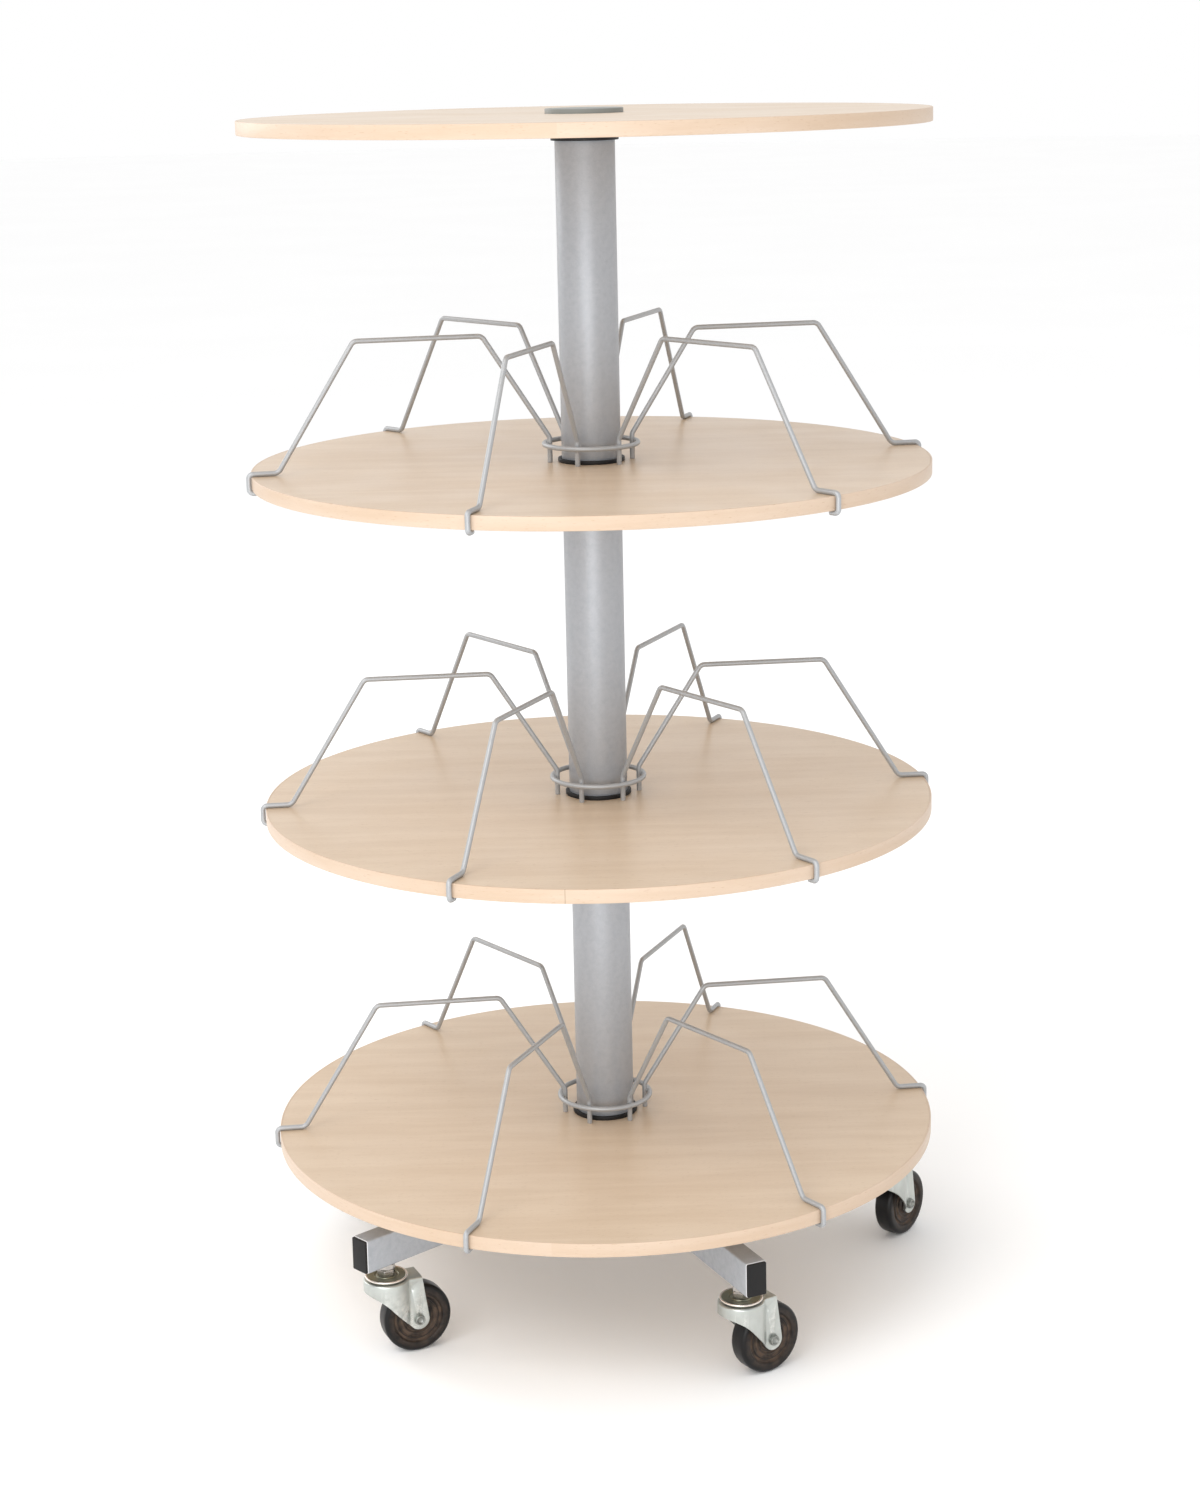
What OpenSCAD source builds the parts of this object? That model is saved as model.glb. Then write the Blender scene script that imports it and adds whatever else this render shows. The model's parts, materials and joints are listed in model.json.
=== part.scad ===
// Rotating binder stand: three turning shelves with wire dividers and a turning top plate,
// stacked on one column over a five-arm base on swivel casters.
// Z is up, the floor is z = 0 and the column's axis is x = y = 0. The front faces -Y.
// Angles round the column are counted from the front towards +X.

/* [Boards] */
// Diameter of each shelf and of the top plate, over the edge band
shelf_d = 800; // [700:10:900]
// Thickness of the boards
board_t = 16; // [14:1:22]
// Thickness of the edge band
band_t = 2; // [1:0.5:3]
// Rounding of the edge band's corners
band_round = 0.8; // [0.3:0.1:0.9]
// Height from one shelf's face to the next
tier_pitch = 405; // [340:5:450]
// Height from the arms' upper face to the lower board's underside
arm_to_board = 31; // [28:1:60]

/* [Column] */
// Diameter of the column's outer tubes
column_d = 70; // [66:1:90]
// Wall of the column's outer tubes
column_wall = 2; // [1:0.5:4]
// Diameter of the inner mast
mast_d = 48; // [40:1:50]
// Wall of the inner mast
mast_wall = 3; // [2:0.5:5]
// Thickness of the plate welded in the mast's top end
mast_plate_t = 8; // [5:1:12]
// Wall of the base hub
hub_wall = 3; // [2:0.5:5]
// Thickness of the hub's floor, below the arms
hub_floor_t = 6; // [4:1:10]

/* [Bearings] */
// Width of the black rings round the column's tubes
ring_rim = 4.5; // [3:0.5:8]
// Height of the black ring on a shelf
cup_h = 4.5; // [3.5:0.5:8]
// Thickness of the seat below the tube's end in that ring
cup_floor_t = 1.5; // [1:0.5:3]
// Wall of the sleeve that goes down through the board
sleeve_wall = 6; // [4:0.5:8]
// Thickness of the ring under a board
bearing_t = 3; // [2:0.5:5]
// How far that ring's collar reaches down from the board, round the tube
ring_drop = 15; // [9:0.5:18]
// Depth of that ring's plug in the tube below it
bearing_plug = 12; // [6:1:25]
// How far a sleeve stands out below its board, to run on the ring
sleeve_stand = 0.5; // [0.3:0.1:1]

/* [Top cap] */
// Diameter of the grey cap
cap_d = 91; // [88:1:110]
// Height of the cap above the top plate
cap_rise = 5.5; // [5:0.5:9]
// Wall of the cap
cap_wall = 1.8; // [1.2:0.1:2.5]
// Depth of the recess for the cap in the top plate
recess_depth = 6; // [6:0.5:8]
// Diameter of the washer that holds the stack together
washer_d = 62; // [58:1:68]
// Thickness of that washer
washer_t = 3; // [2:0.5:3.5]
// Diameter of the screw's head
screw_head_d = 18; // [14:1:24]
// Height of the screw's head
screw_head_h = 2.5; // [2:0.5:3]
// Diameter of the screw
screw_d = 8; // [6:1:10]
// Length of the screw below its head
screw_len = 18; // [12:1:40]

/* [Dividers] */
// Number of wires on a shelf
divider_count = 6; // [3:1:8]
// Diameter of the wire
wire_d = 6; // [4:0.5:7]
// Height of a divider above its shelf
divider_h = 155; // [100:5:250]
// From the column's axis to the inner top bend
inner_bend_r = 127; // [110:1:150]
// From the rim inwards to the outer top bend
outer_bend_in = 123; // [90:1:130]
// From the rim inwards to the bend on the shelf
foot_bend_in = 31; // [25:1:40]
// Radius of the large bends, on the wire's centre
bend_r = 9; // [7:1:12]
// Radius of the hook's bends, on the wire's centre
hook_bend_r = 5; // [4:0.5:6]
// Length of the hook's tip under the board
hook_tip = 12; // [9:1:20]
// Height of the bend above the foot by the column
foot_h = 30; // [27:1:45]
// Height of the ring that joins the wires
divider_ring_z = 21; // [15:1:22]
// Gap between the black ring and the wires' feet
foot_gap = 7; // [5:1:12]
// Turn of the upper shelf's dividers
upper_turn = -19; // [-60:1:60]
// Turn of the middle shelf's dividers
middle_turn = -24; // [-60:1:60]
// Turn of the lower shelf's dividers
lower_turn = -23; // [-60:1:60]

/* [Base] */
// Width of an arm
arm_w = 25; // [25:1:30]
// Height of an arm
arm_h = 40; // [30:1:50]
// Wall of an arm
arm_wall = 1.5; // [1:0.5:3]
// Rounding of an arm's long edges
arm_round = 2; // [1.7:0.1:3]
// How far the arms' ends stay inside the shelf's rim
arm_inset = 8; // [0:1:40]
// Thickness of an end cap's flange
end_cap_t = 3; // [2:0.5:5]
// Depth of an end cap's plug
end_cap_plug = 14; // [8:1:18]
// Angle of the first arm, at the front left
first_arm = -47; // [-72:1:72]

/* [Casters] */
// Diameter of a wheel
wheel_d = 82; // [70:1:90]
// Width of a wheel's tread
wheel_w = 24; // [20:1:28]
// Height of the tread, from the side's recess to the rim
tread_h = 11; // [8:1:14]
// Rounding of the tread's shoulders
shoulder_r = 5; // [3:0.5:6]
// Depth of the recess in a wheel's side
web_recess = 3; // [1:0.5:4]
// Diameter of a wheel's hub boss
boss_d = 26; // [20:1:30]
// How far the boss stands out past the tread's side
boss_stand = 0.5; // [0:0.5:1]
// Diameter of the axle
axle_d = 8; // [6:0.5:9]
// Diameter of the axle's heads
axle_head_d = 12.5; // [11:0.5:14]
// Height of the axle's heads
axle_head_h = 4; // [3:0.5:6]
// Wall of the steel bush in a wheel
wheel_bush_wall = 3; // [2:0.5:4]
// Distance from the swivel axis to the axle
trail = 33.5; // [28:0.5:36]
// Distance from the arm's end to the swivel axis
stem_in = 39; // [30:1:60]
// Sheet thickness of a fork
fork_t = 2.5; // [2:0.5:3]
// Gap between a wheel's boss and a fork's legs
fork_side_gap = 1; // [0.5:0.5:2]
// Gap between a wheel and the fork's top
fork_top_gap = 9; // [2:0.5:12]
// Diameter of a fork's round head
fork_head_d = 54; // [54:1:60]
// Height of the head's skirt at the front
skirt_h = 12; // [10:1:16]
// How much deeper the skirt is towards the sides
skirt_fall = 4; // [1:1:6]
// Height of the skirt's lower edge above the axle, beside the swivel axis
skirt_side_z = 19; // [15:1:22]
// Half width of a fork's leg at the axle
leg_half = 12; // [8:0.5:13]
// How far a leg's rear edge slants back on its way down
leg_slant = 8; // [0:1:10]
// Diameter of the swivel disc
disc_d = 50; // [46:1:53]
// Thickness of the swivel disc
disc_t = 2.5; // [2:0.5:4]
// Height of the ball race between disc and fork
race_h = 2; // [1.5:0.5:4]
// Diameter of the ball race
race_d = 38; // [30:1:42]
// Diameter of the threaded stem
stem_d = 12; // [10:1:14]
// Height of the stem's hexagon collar
collar_h = 8; // [6:1:14]
// Width across the flats of the collar and of the lock nut
hex_w = 19; // [18:1:22]
// Height of the lock nut
nut_h = 7; // [6:1:12]
// How far the stem goes into the arm
stem_in_arm = 16; // [10:1:25]
// Trailing direction of the front left caster
heading_front_left = 113; // [-180:1:180]
// Trailing direction of the front right caster
heading_front_right = 124; // [-180:1:180]
// Trailing direction of the right caster
heading_right = 141; // [-180:1:180]
// Trailing direction of the rear caster
heading_rear = 132; // [-180:1:180]
// Trailing direction of the left caster
heading_left = 120; // [-180:1:180]

/* [Hidden] */

// Segments of small, middle and large rounds
fn_small = 40;
fn_mid = 80;
fn_big = 240;

// Radial clearance of a running fit, and of parts that are pressed or glued together
run_fit = 0.08;
press_fit = 0.1;
// Gap between flat faces that turn past each other
turn_gap = 0.3;
// Radial clearance of the cap in its recess, of a plug in a tube and of a hook off the rim
cap_clear = 0.5;
plug_clear = 0.2;
hook_clear = 0.5;
// How deep the weld joins the divider ring and a wire
weld_depth = 0.3;
// How much thicker a wire is in a bend, and how far its straight lengths run into the bend
bend_swell = 0.06;
bend_lap = 0.5;
// How far the straight edges of a fork's leg run inside its round end
leg_lap = 0.2;
// Width of small broken edges
edge = 1;
// Overlap of a cutting tool past the face that it cuts
cut = 1;

arm_count = 5;
arm_step = 360 / arm_count;
headings = [
    heading_front_left, heading_front_right, heading_right, heading_rear, heading_left
];

// Heights above the floor, from the wheels upwards
axle_z = wheel_d / 2;
fork_under_z = wheel_d + fork_top_gap;
fork_top_z = fork_under_z + fork_t;
disc_z = fork_top_z + race_h;
disc_top_z = disc_z + disc_t;
nut_z = disc_top_z + collar_h;
arm_z = nut_z + nut_h;
arm_top_z = arm_z + arm_h;
hub_z = arm_z - hub_floor_t;
lower_z = arm_top_z + arm_to_board + board_t;
middle_z = lower_z + tier_pitch;
upper_z = middle_z + tier_pitch;
top_z = upper_z + tier_pitch;

// From a board's face down to the tube's end in the ring below it, and the collar's depth there
bearing_drop = board_t + sleeve_stand + bearing_t;
collar_depth = ring_drop - sleeve_stand - bearing_t;

// Radii round the column
shelf_r = shelf_d / 2;
column_r = column_d / 2;
column_bore_r = column_r - column_wall;
mast_r = mast_d / 2;
mast_bore_r = mast_r - mast_wall;
ring_r = column_r + ring_rim;
sleeve_r = mast_r + run_fit + sleeve_wall;
cap_r = cap_d / 2;
arm_reach = shelf_r - arm_inset;
arm_end = arm_reach - end_cap_t;
stem_r = arm_reach - stem_in;

// The washer lies on the mast's end, one turning gap above the top bush
top_bush_z = top_z - recess_depth + cup_floor_t;
mast_top_z = top_bush_z + turn_gap;

// The wire's centre line: feet by the column, and the hook at the rim
wire_r = wire_d / 2;
foot_r = ring_r + foot_gap + wire_r;
divider_ring_r = foot_r + wire_d - weld_depth;
hook_r = shelf_r + hook_clear + wire_r;
wire_path = [
    [foot_r, 0],
    [foot_r, foot_h],
    [inner_bend_r, divider_h - wire_r],
    [shelf_r - outer_bend_in, divider_h - wire_r],
    [shelf_r - foot_bend_in, wire_r + press_fit],
    [hook_r, wire_r + press_fit],
    [hook_r, -board_t - press_fit - wire_r],
    [hook_r - hook_tip, -board_t - press_fit - wire_r]
];
wire_bends = [0, bend_r, bend_r, bend_r, bend_r, hook_bend_r, hook_bend_r, 0];

// Widths along the axle
boss_half = wheel_w / 2 + boss_stand;
fork_half = boss_half + fork_side_gap;
leg_out = fork_half + fork_t;
fork_head_r = fork_head_d / 2;
// Where a leg's flat plate comes out of the round head, and how far it starts inside the head
crease_x = sqrt(fork_head_r * fork_head_r - leg_out * leg_out);
leg_x = crease_x - edge;
// The fork's lower edge is a line from the knee, beside the swivel axis, to the leg's round end
knee_z = axle_z + skirt_side_z;
fall = atan(skirt_side_z / trail) + asin((leg_half - leg_lap) / norm([trail, skirt_side_z]));
// Depth of the wheel hub's running gap to the legs
hub_gap = 0.3;

function heading(p, q) = atan2(q[1] - p[1], q[0] - p[0]);
function turn(a) = a > 180 ? a - 360 : a < -180 ? a + 360 : a;
function setback(bend, angle) = bend * tan(abs(angle) / 2);

// A thing built along +X is carried to an angle round the column
module at_angle(a) {
    rotate([0, 0, a - 90])
        children();
}

module round_bar_2d(w, h, r) {
    square([w - 2 * r, h], center = true);
    square([w, h - 2 * r], center = true);
    for (x = [-1, 1], y = [-1, 1])
        translate([x * (w / 2 - r), y * (h / 2 - r)])
            circle(r = r, $fn = fn_small);
}

// One turn of a bent rod in the XZ plane, from the direction a0 by the angle t
module elbow(corner, a0, t, bend, r) {
    side = t > 0 ? 1 : -1;
    back = setback(bend, t);
    start = corner - back * [cos(a0), sin(a0)];
    centre = start + side * bend * [-sin(a0), cos(a0)];
    first = side > 0 ? a0 - 90 : a0 + 90 + t;
    translate([centre[0], 0, centre[1]])
        rotate([90, 0, 0])
            rotate([0, 0, first])
                rotate_extrude(angle = abs(t), $fn = fn_mid)
                    translate([bend, 0])
                        circle(r = r, $fn = fn_small);
}

// A rod of radius r along points in the XZ plane, with a bend at each inner point. A bend is a
// hair thicker than the straight lengths, which run a little way into it.
module bent_rod(path, bends, r) {
    last = len(path) - 1;
    angles = [for (i = [0 : last - 1]) heading(path[i], path[i + 1])];
    turns = [for (i = [0 : last]) i == 0 || i == last ? 0 : turn(angles[i] - angles[i - 1])];
    laps = [for (i = [0 : last]) i == 0 || i == last ? 0 : bend_lap];
    for (i = [0 : last - 1]) {
        dir = [cos(angles[i]), sin(angles[i])];
        from = path[i] + (setback(bends[i], turns[i]) - laps[i]) * dir;
        to = path[i + 1] - (setback(bends[i + 1], turns[i + 1]) - laps[i + 1]) * dir;
        translate([from[0], 0, from[1]])
            rotate([0, 90 - angles[i], 0])
                cylinder(r = r, h = norm(to - from), $fn = fn_small);
    }
    for (i = [1 : last - 1])
        elbow(path[i], angles[i - 1], turns[i], bends[i], r + bend_swell);
}

module board(z) {
    color("burlywood")
        translate([0, 0, z - board_t])
            difference() {
                cylinder(r = shelf_r - band_t - press_fit, h = board_t, $fn = fn_big);
                translate([0, 0, -cut])
                    cylinder(r = sleeve_r + press_fit, h = board_t + 2 * cut, $fn = fn_mid);
            }
}

module edge_band(z) {
    color("navajowhite")
        translate([0, 0, z - board_t])
            rotate_extrude($fn = fn_big) {
                translate([shelf_r - band_t, 0])
                    square([band_t - band_round, board_t]);
                translate([shelf_r - band_t, band_round])
                    square([band_t, board_t - 2 * band_round]);
                for (y = [band_round, board_t - band_round])
                    translate([shelf_r - band_round, y])
                        circle(r = band_round, $fn = fn_small);
            }
}

// The black bush in a shelf: a sleeve on the mast and a cup for the tube above
module shelf_bush(z) {
    bore = mast_r + run_fit;
    rim_in = column_r + run_fit;
    color("black")
        translate([0, 0, z])
            rotate_extrude($fn = fn_mid)
                polygon([
                    [bore, -board_t - sleeve_stand], [sleeve_r, -board_t - sleeve_stand],
                    [sleeve_r, 0], [ring_r, 0], [ring_r, cup_h - edge], [ring_r - edge, cup_h],
                    [rim_in, cup_h], [rim_in, cup_floor_t], [bore, cup_floor_t]
                ]);
}

module divider_ring(z) {
    color("silver")
        translate([0, 0, z + divider_ring_z])
            rotate_extrude($fn = fn_mid)
                translate([divider_ring_r, 0])
                    circle(r = wire_r, $fn = fn_small);
}

module divider_wires(z, turned) {
    color("silver")
        translate([0, 0, z])
            for (i = [0 : divider_count - 1])
                at_angle(turned + i * 360 / divider_count)
                    bent_rod(wire_path, wire_bends, wire_r);
}

module top_board() {
    color("burlywood")
        difference() {
            board(top_z);
            translate([0, 0, top_z - recess_depth])
                cylinder(r = cap_r + cap_clear, h = recess_depth + cut, $fn = fn_mid);
        }
}

module top_bush() {
    bore = mast_r + run_fit;
    seat = recess_depth - board_t;
    color("black")
        translate([0, 0, top_z - recess_depth])
            rotate_extrude($fn = fn_mid)
                polygon([
                    [bore, seat - sleeve_stand], [sleeve_r, seat - sleeve_stand],
                    [sleeve_r, 0], [ring_r, 0], [ring_r, cup_floor_t], [bore, cup_floor_t]
                ]);
}

// The fixed ring under a board, plugged in the tube below it, with a collar round the tube
module bearing_ring(z, bore_r) {
    collar_in = column_r + press_fit;
    color("black")
        translate([0, 0, z - bearing_drop])
            rotate_extrude($fn = fn_mid)
                polygon([
                    [mast_r + press_fit, -bearing_plug], [bore_r - press_fit, -bearing_plug],
                    [bore_r - press_fit, 0], [collar_in, 0], [collar_in, -collar_depth],
                    [ring_r, -collar_depth], [ring_r, bearing_t],
                    [mast_r + press_fit, bearing_t]
                ]);
}

// The column's outer tube between the cup on one shelf and the ring under the next board
module column_tube(z) {
    foot = z + cup_floor_t;
    color("lightsteelblue")
        translate([0, 0, foot])
            difference() {
                cylinder(r = column_r, h = z + tier_pitch - bearing_drop - foot, $fn = fn_mid);
                translate([0, 0, -cut])
                    cylinder(r = column_bore_r, h = tier_pitch + cut, $fn = fn_mid);
            }
}

module mast() {
    color("gray")
        difference() {
            translate([0, 0, arm_z])
                cylinder(r = mast_r, h = mast_top_z - arm_z, $fn = fn_mid);
            translate([0, 0, arm_z - cut])
                cylinder(r = mast_bore_r, h = mast_top_z - mast_plate_t - arm_z + cut, $fn = fn_mid);
            translate([0, 0, mast_top_z - mast_plate_t - cut])
                cylinder(d = screw_d + 2 * press_fit, h = mast_plate_t + 2 * cut, $fn = fn_small);
        }
}

module retaining_washer() {
    color("silver")
        translate([0, 0, mast_top_z])
            difference() {
                cylinder(d = washer_d, h = washer_t, $fn = fn_mid);
                translate([0, 0, -cut])
                    cylinder(d = screw_d + 2 * press_fit, h = washer_t + 2 * cut, $fn = fn_small);
            }
}

module retaining_screw() {
    seat = mast_top_z + washer_t;
    color("silver") {
        translate([0, 0, seat])
            cylinder(d = screw_head_d, h = screw_head_h, $fn = fn_small);
        translate([0, 0, seat - screw_len])
            cylinder(d = screw_d, h = screw_len + screw_head_h / 2, $fn = fn_small);
    }
}

// The cap clips over the washer and hangs clear of the turning top plate
module top_cap() {
    under = mast_top_z;
    lid = top_z + cap_rise;
    collar_in = washer_d / 2 + press_fit;
    color("gray")
        rotate_extrude($fn = fn_mid)
            polygon([
                [0, lid], [0, lid - cap_wall], [collar_in, lid - cap_wall],
                [collar_in, under], [collar_in + cap_wall, under],
                [collar_in + cap_wall, lid - cap_wall], [cap_r - cap_wall, lid - cap_wall],
                [cap_r - cap_wall, under], [cap_r, under], [cap_r, lid - edge],
                [cap_r - edge, lid]
            ]);
}

module base_hub() {
    top = lower_z - bearing_drop;
    color("silver")
        rotate_extrude($fn = fn_mid)
            polygon([
                [0, hub_z], [column_r, hub_z], [column_r, top],
                [column_r - hub_wall, top], [column_r - hub_wall, arm_z], [0, arm_z]
            ]);
}

module arm(i) {
    color("silver")
        at_angle(first_arm + i * arm_step)
            difference() {
                translate([0, 0, arm_z + arm_h / 2])
                    rotate([90, 0, 90])
                        linear_extrude(arm_end)
                            difference() {
                                round_bar_2d(arm_w, arm_h, arm_round);
                                round_bar_2d(
                                    arm_w - 2 * arm_wall, arm_h - 2 * arm_wall,
                                    arm_round - arm_wall);
                            }
                translate([0, 0, arm_z - cut])
                    cylinder(r = column_r + press_fit, h = arm_h + 2 * cut, $fn = fn_mid);
                translate([stem_r, 0, arm_z - cut])
                    cylinder(d = stem_d + 2 * press_fit, h = arm_wall + 2 * cut, $fn = fn_small);
            }
}

module arm_end_caps() {
    color("black")
        for (i = [0 : arm_count - 1])
            at_angle(first_arm + i * arm_step)
                translate([0, 0, arm_z + arm_h / 2])
                    rotate([90, 0, 90]) {
                        translate([0, 0, arm_end])
                            linear_extrude(end_cap_t)
                                round_bar_2d(arm_w, arm_h, arm_round);
                        translate([0, 0, arm_end - end_cap_plug])
                            linear_extrude(end_cap_plug + end_cap_t / 2)
                                square([
                                    arm_w - 2 * arm_wall - 2 * plug_clear,
                                    arm_h - 2 * arm_wall - 2 * plug_clear
                                ], center = true);
                    }
}

// Something on the swivel axis of one caster
module at_stem(i) {
    at_angle(first_arm + i * arm_step)
        translate([stem_r, 0, 0])
            children();
}

// Something in one caster's own frame: its swivel axis is Z, and it trails towards +X
module in_caster(i) {
    where = first_arm + i * arm_step;
    translate([stem_r * sin(where), -stem_r * cos(where), 0])
        at_angle(headings[i])
            children();
}

module hex_bar(h) {
    corner_r = hex_w / 2 / cos(30);
    intersection() {
        cylinder(r = corner_r, h = h, $fn = 6);
        rotate_extrude($fn = fn_mid)
            polygon([
                [0, 0], [hex_w / 2, 0], [hex_w / 2 + 2 * edge, edge],
                [hex_w / 2 + 2 * edge, h - edge], [hex_w / 2, h], [0, h]
            ]);
    }
}

module caster_stems() {
    rivet_top = fork_under_z - turn_gap;
    rivet_h = 3;
    rivet_d = 1.5 * stem_d;
    color("silver")
        for (i = [0 : arm_count - 1])
            at_stem(i) {
                translate([0, 0, rivet_top - rivet_h])
                    cylinder(d = rivet_d, h = rivet_h, $fn = fn_small);
                translate([0, 0, rivet_top - rivet_h / 2])
                    cylinder(d = stem_d, h = arm_z + stem_in_arm - rivet_top + rivet_h / 2,
                        $fn = fn_small);
                translate([0, 0, disc_top_z])
                    hex_bar(collar_h);
            }
}

module caster_lock_nuts() {
    color("silver")
        for (i = [0 : arm_count - 1])
            at_stem(i)
                translate([0, 0, nut_z])
                    difference() {
                        hex_bar(nut_h);
                        translate([0, 0, -cut])
                            cylinder(d = stem_d + 2 * press_fit, h = nut_h + 2 * cut,
                                $fn = fn_small);
                    }
}

module caster_swivel_discs() {
    bore = stem_d / 2 + press_fit;
    lip = disc_t / 2;
    color("wheat")
        for (i = [0 : arm_count - 1])
            at_stem(i)
                rotate_extrude($fn = fn_mid)
                    polygon([
                        [bore, fork_top_z + turn_gap], [race_d / 2, fork_top_z + turn_gap],
                        [race_d / 2, disc_z], [disc_d / 2 - lip / 2, disc_z],
                        [disc_d / 2, disc_z + lip / 2], [disc_d / 2, disc_top_z - lip],
                        [disc_d / 2 - lip, disc_top_z], [bore, disc_top_z]
                    ]);
}

// A fork's side: the skirt's lower edge falls from the front of the head past the knee
module skirt_side_2d() {
    front = -fork_head_r - cut;
    front_z = fork_top_z - skirt_h;
    rear = crease_x + edge;
    polygon([
        [front, front_z], [-fork_head_r / 2, front_z - skirt_fall], [0, knee_z],
        [rear, knee_z - rear * tan(fall) + edge / 2], [rear, fork_top_z], [front, fork_top_z]
    ]);
}

module leg_side_2d() {
    touch = sqrt(pow(norm([trail, skirt_side_z]), 2) - pow(leg_half - leg_lap, 2));
    polygon([
        [leg_x, knee_z - leg_x * tan(fall)], [touch * cos(fall), knee_z - touch * sin(fall)],
        [trail, axle_z], [trail + leg_half - leg_lap, axle_z],
        [trail + leg_half - leg_slant, fork_top_z], [leg_x, fork_top_z]
    ]);
    translate([trail, axle_z])
        circle(r = leg_half, $fn = fn_mid);
}

module fork(i) {
    depth = 2 * fork_head_r;
    color("gainsboro")
        in_caster(i)
            difference() {
                union() {
                    // Round head with its skirt, open at the rear where the wheel runs
                    intersection() {
                        difference() {
                            cylinder(r = fork_head_r, h = fork_top_z, $fn = fn_mid);
                            translate([0, 0, -cut])
                                cylinder(r = fork_head_r - fork_t, h = fork_under_z + cut,
                                    $fn = fn_mid);
                            translate([0, -fork_half, -cut])
                                cube([depth, 2 * fork_half, fork_under_z + cut]);
                        }
                        translate([0, depth / 2, 0])
                            rotate([90, 0, 0])
                                linear_extrude(depth)
                                    skirt_side_2d();
                    }
                    // Top between the legs
                    translate([0, -leg_out, fork_under_z])
                        cube([trail + leg_half - leg_slant, 2 * leg_out, fork_t]);
                    for (side = [0, 1])
                        mirror([0, side, 0])
                            translate([0, leg_out, 0])
                                rotate([90, 0, 0])
                                    linear_extrude(fork_t)
                                        leg_side_2d();
                }
                translate([0, 0, fork_under_z - cut])
                    cylinder(r = stem_d / 2 + run_fit, h = fork_t + 2 * cut, $fn = fn_small);
                translate([trail, 0, axle_z])
                    rotate([90, 0, 0])
                        cylinder(r = axle_d / 2 + press_fit, h = 4 * leg_out, center = true,
                            $fn = fn_small);
            }
}

// Something turned round one wheel's axle, drawn with Z along the axle
module on_axle(i) {
    in_caster(i)
        translate([trail, 0, axle_z])
            rotate([90, 0, 0])
                children();
}

// An axle with its two round heads, each with a small boss in its middle
module axle(i) {
    boss_r = axle_head_d / 4;
    half = [
        [0, leg_out + axle_head_h], [boss_r, leg_out + axle_head_h],
        [boss_r + edge, leg_out + axle_head_h - edge],
        [axle_head_d / 2, leg_out + axle_head_h - 3 / 2 * edge], [axle_head_d / 2, leg_out],
        [axle_d / 2, leg_out]
    ];
    last = len(half) - 1;
    color("silver")
        on_axle(i)
            rotate_extrude($fn = fn_small)
                polygon(concat(half, [for (i = [last : -1 : 0]) [half[i][0], -half[i][1]]]));
}

module wheel_bush(i) {
    length = 2 * (fork_half - hub_gap);
    color("silver")
        on_axle(i)
            translate([0, 0, -length / 2])
                difference() {
                    cylinder(r = axle_d / 2 + run_fit + wheel_bush_wall, h = length,
                        $fn = fn_small);
                    translate([0, 0, -cut])
                        cylinder(r = axle_d / 2 + run_fit, h = length + 2 * cut, $fn = fn_small);
                }
}

// A wheel's section: radius across, and from the wheel's middle outwards
module wheel_2d() {
    bore = axle_d / 2 + run_fit + wheel_bush_wall + press_fit;
    rim = wheel_d / 2;
    side = wheel_w / 2;
    tread_in = rim - tread_h;
    web = side - web_recess;
    half = [
        [bore, boss_half], [boss_d / 2 - edge, boss_half], [boss_d / 2, boss_half - edge],
        [boss_d / 2 + edge, web], [tread_in - edge, web], [tread_in, side - edge / 2],
        [tread_in + edge, side], [rim, side]
    ];
    last = len(half) - 1;
    polygon(concat(half, [for (i = [last : -1 : 0]) [half[i][0], -half[i][1]]]));
}

// What is taken off a tread's corner to round its shoulder
module shoulder_cut_2d() {
    translate([wheel_d / 2 - shoulder_r, wheel_w / 2 - shoulder_r])
        difference() {
            square(shoulder_r + cut);
            circle(r = shoulder_r, $fn = fn_small);
        }
}

module wheel(i) {
    color("dimgray")
        on_axle(i)
            difference() {
                rotate_extrude($fn = fn_mid)
                    wheel_2d();
                for (side = [0, 1])
                    mirror([0, 0, side])
                        rotate_extrude($fn = fn_mid)
                            shoulder_cut_2d();
            }
}

base_hub();
arm(0);  // arm_front_left
arm(1);  // arm_front_right
arm(2);  // arm_right
arm(3);  // arm_rear
arm(4);  // arm_left
arm_end_caps();
mast();
column_tube(lower_z);  // lower_column_tube
column_tube(middle_z);  // middle_column_tube
column_tube(upper_z);  // upper_column_tube
bearing_ring(lower_z, column_r - hub_wall);  // lower_bearing_ring
bearing_ring(middle_z, column_bore_r);  // middle_bearing_ring
bearing_ring(upper_z, column_bore_r);  // upper_bearing_ring
bearing_ring(top_z, column_bore_r);  // top_bearing_ring
retaining_washer();
retaining_screw();
top_cap();
board(lower_z);  // lower_board
edge_band(lower_z);  // lower_edge_band
shelf_bush(lower_z);  // lower_bush
divider_ring(lower_z);  // lower_divider_ring
divider_wires(lower_z, lower_turn);  // lower_divider_wires
board(middle_z);  // middle_board
edge_band(middle_z);  // middle_edge_band
shelf_bush(middle_z);  // middle_bush
divider_ring(middle_z);  // middle_divider_ring
divider_wires(middle_z, middle_turn);  // middle_divider_wires
board(upper_z);  // upper_board
edge_band(upper_z);  // upper_edge_band
shelf_bush(upper_z);  // upper_bush
divider_ring(upper_z);  // upper_divider_ring
divider_wires(upper_z, upper_turn);  // upper_divider_wires
top_board();
edge_band(top_z);  // top_edge_band
top_bush();
caster_stems();
caster_lock_nuts();
caster_swivel_discs();
fork(0);  // fork_front_left
fork(1);  // fork_front_right
fork(2);  // fork_right
fork(3);  // fork_rear
fork(4);  // fork_left
axle(0);  // axle_front_left
axle(1);  // axle_front_right
axle(2);  // axle_right
axle(3);  // axle_rear
axle(4);  // axle_left
wheel(0);  // wheel_front_left
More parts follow.
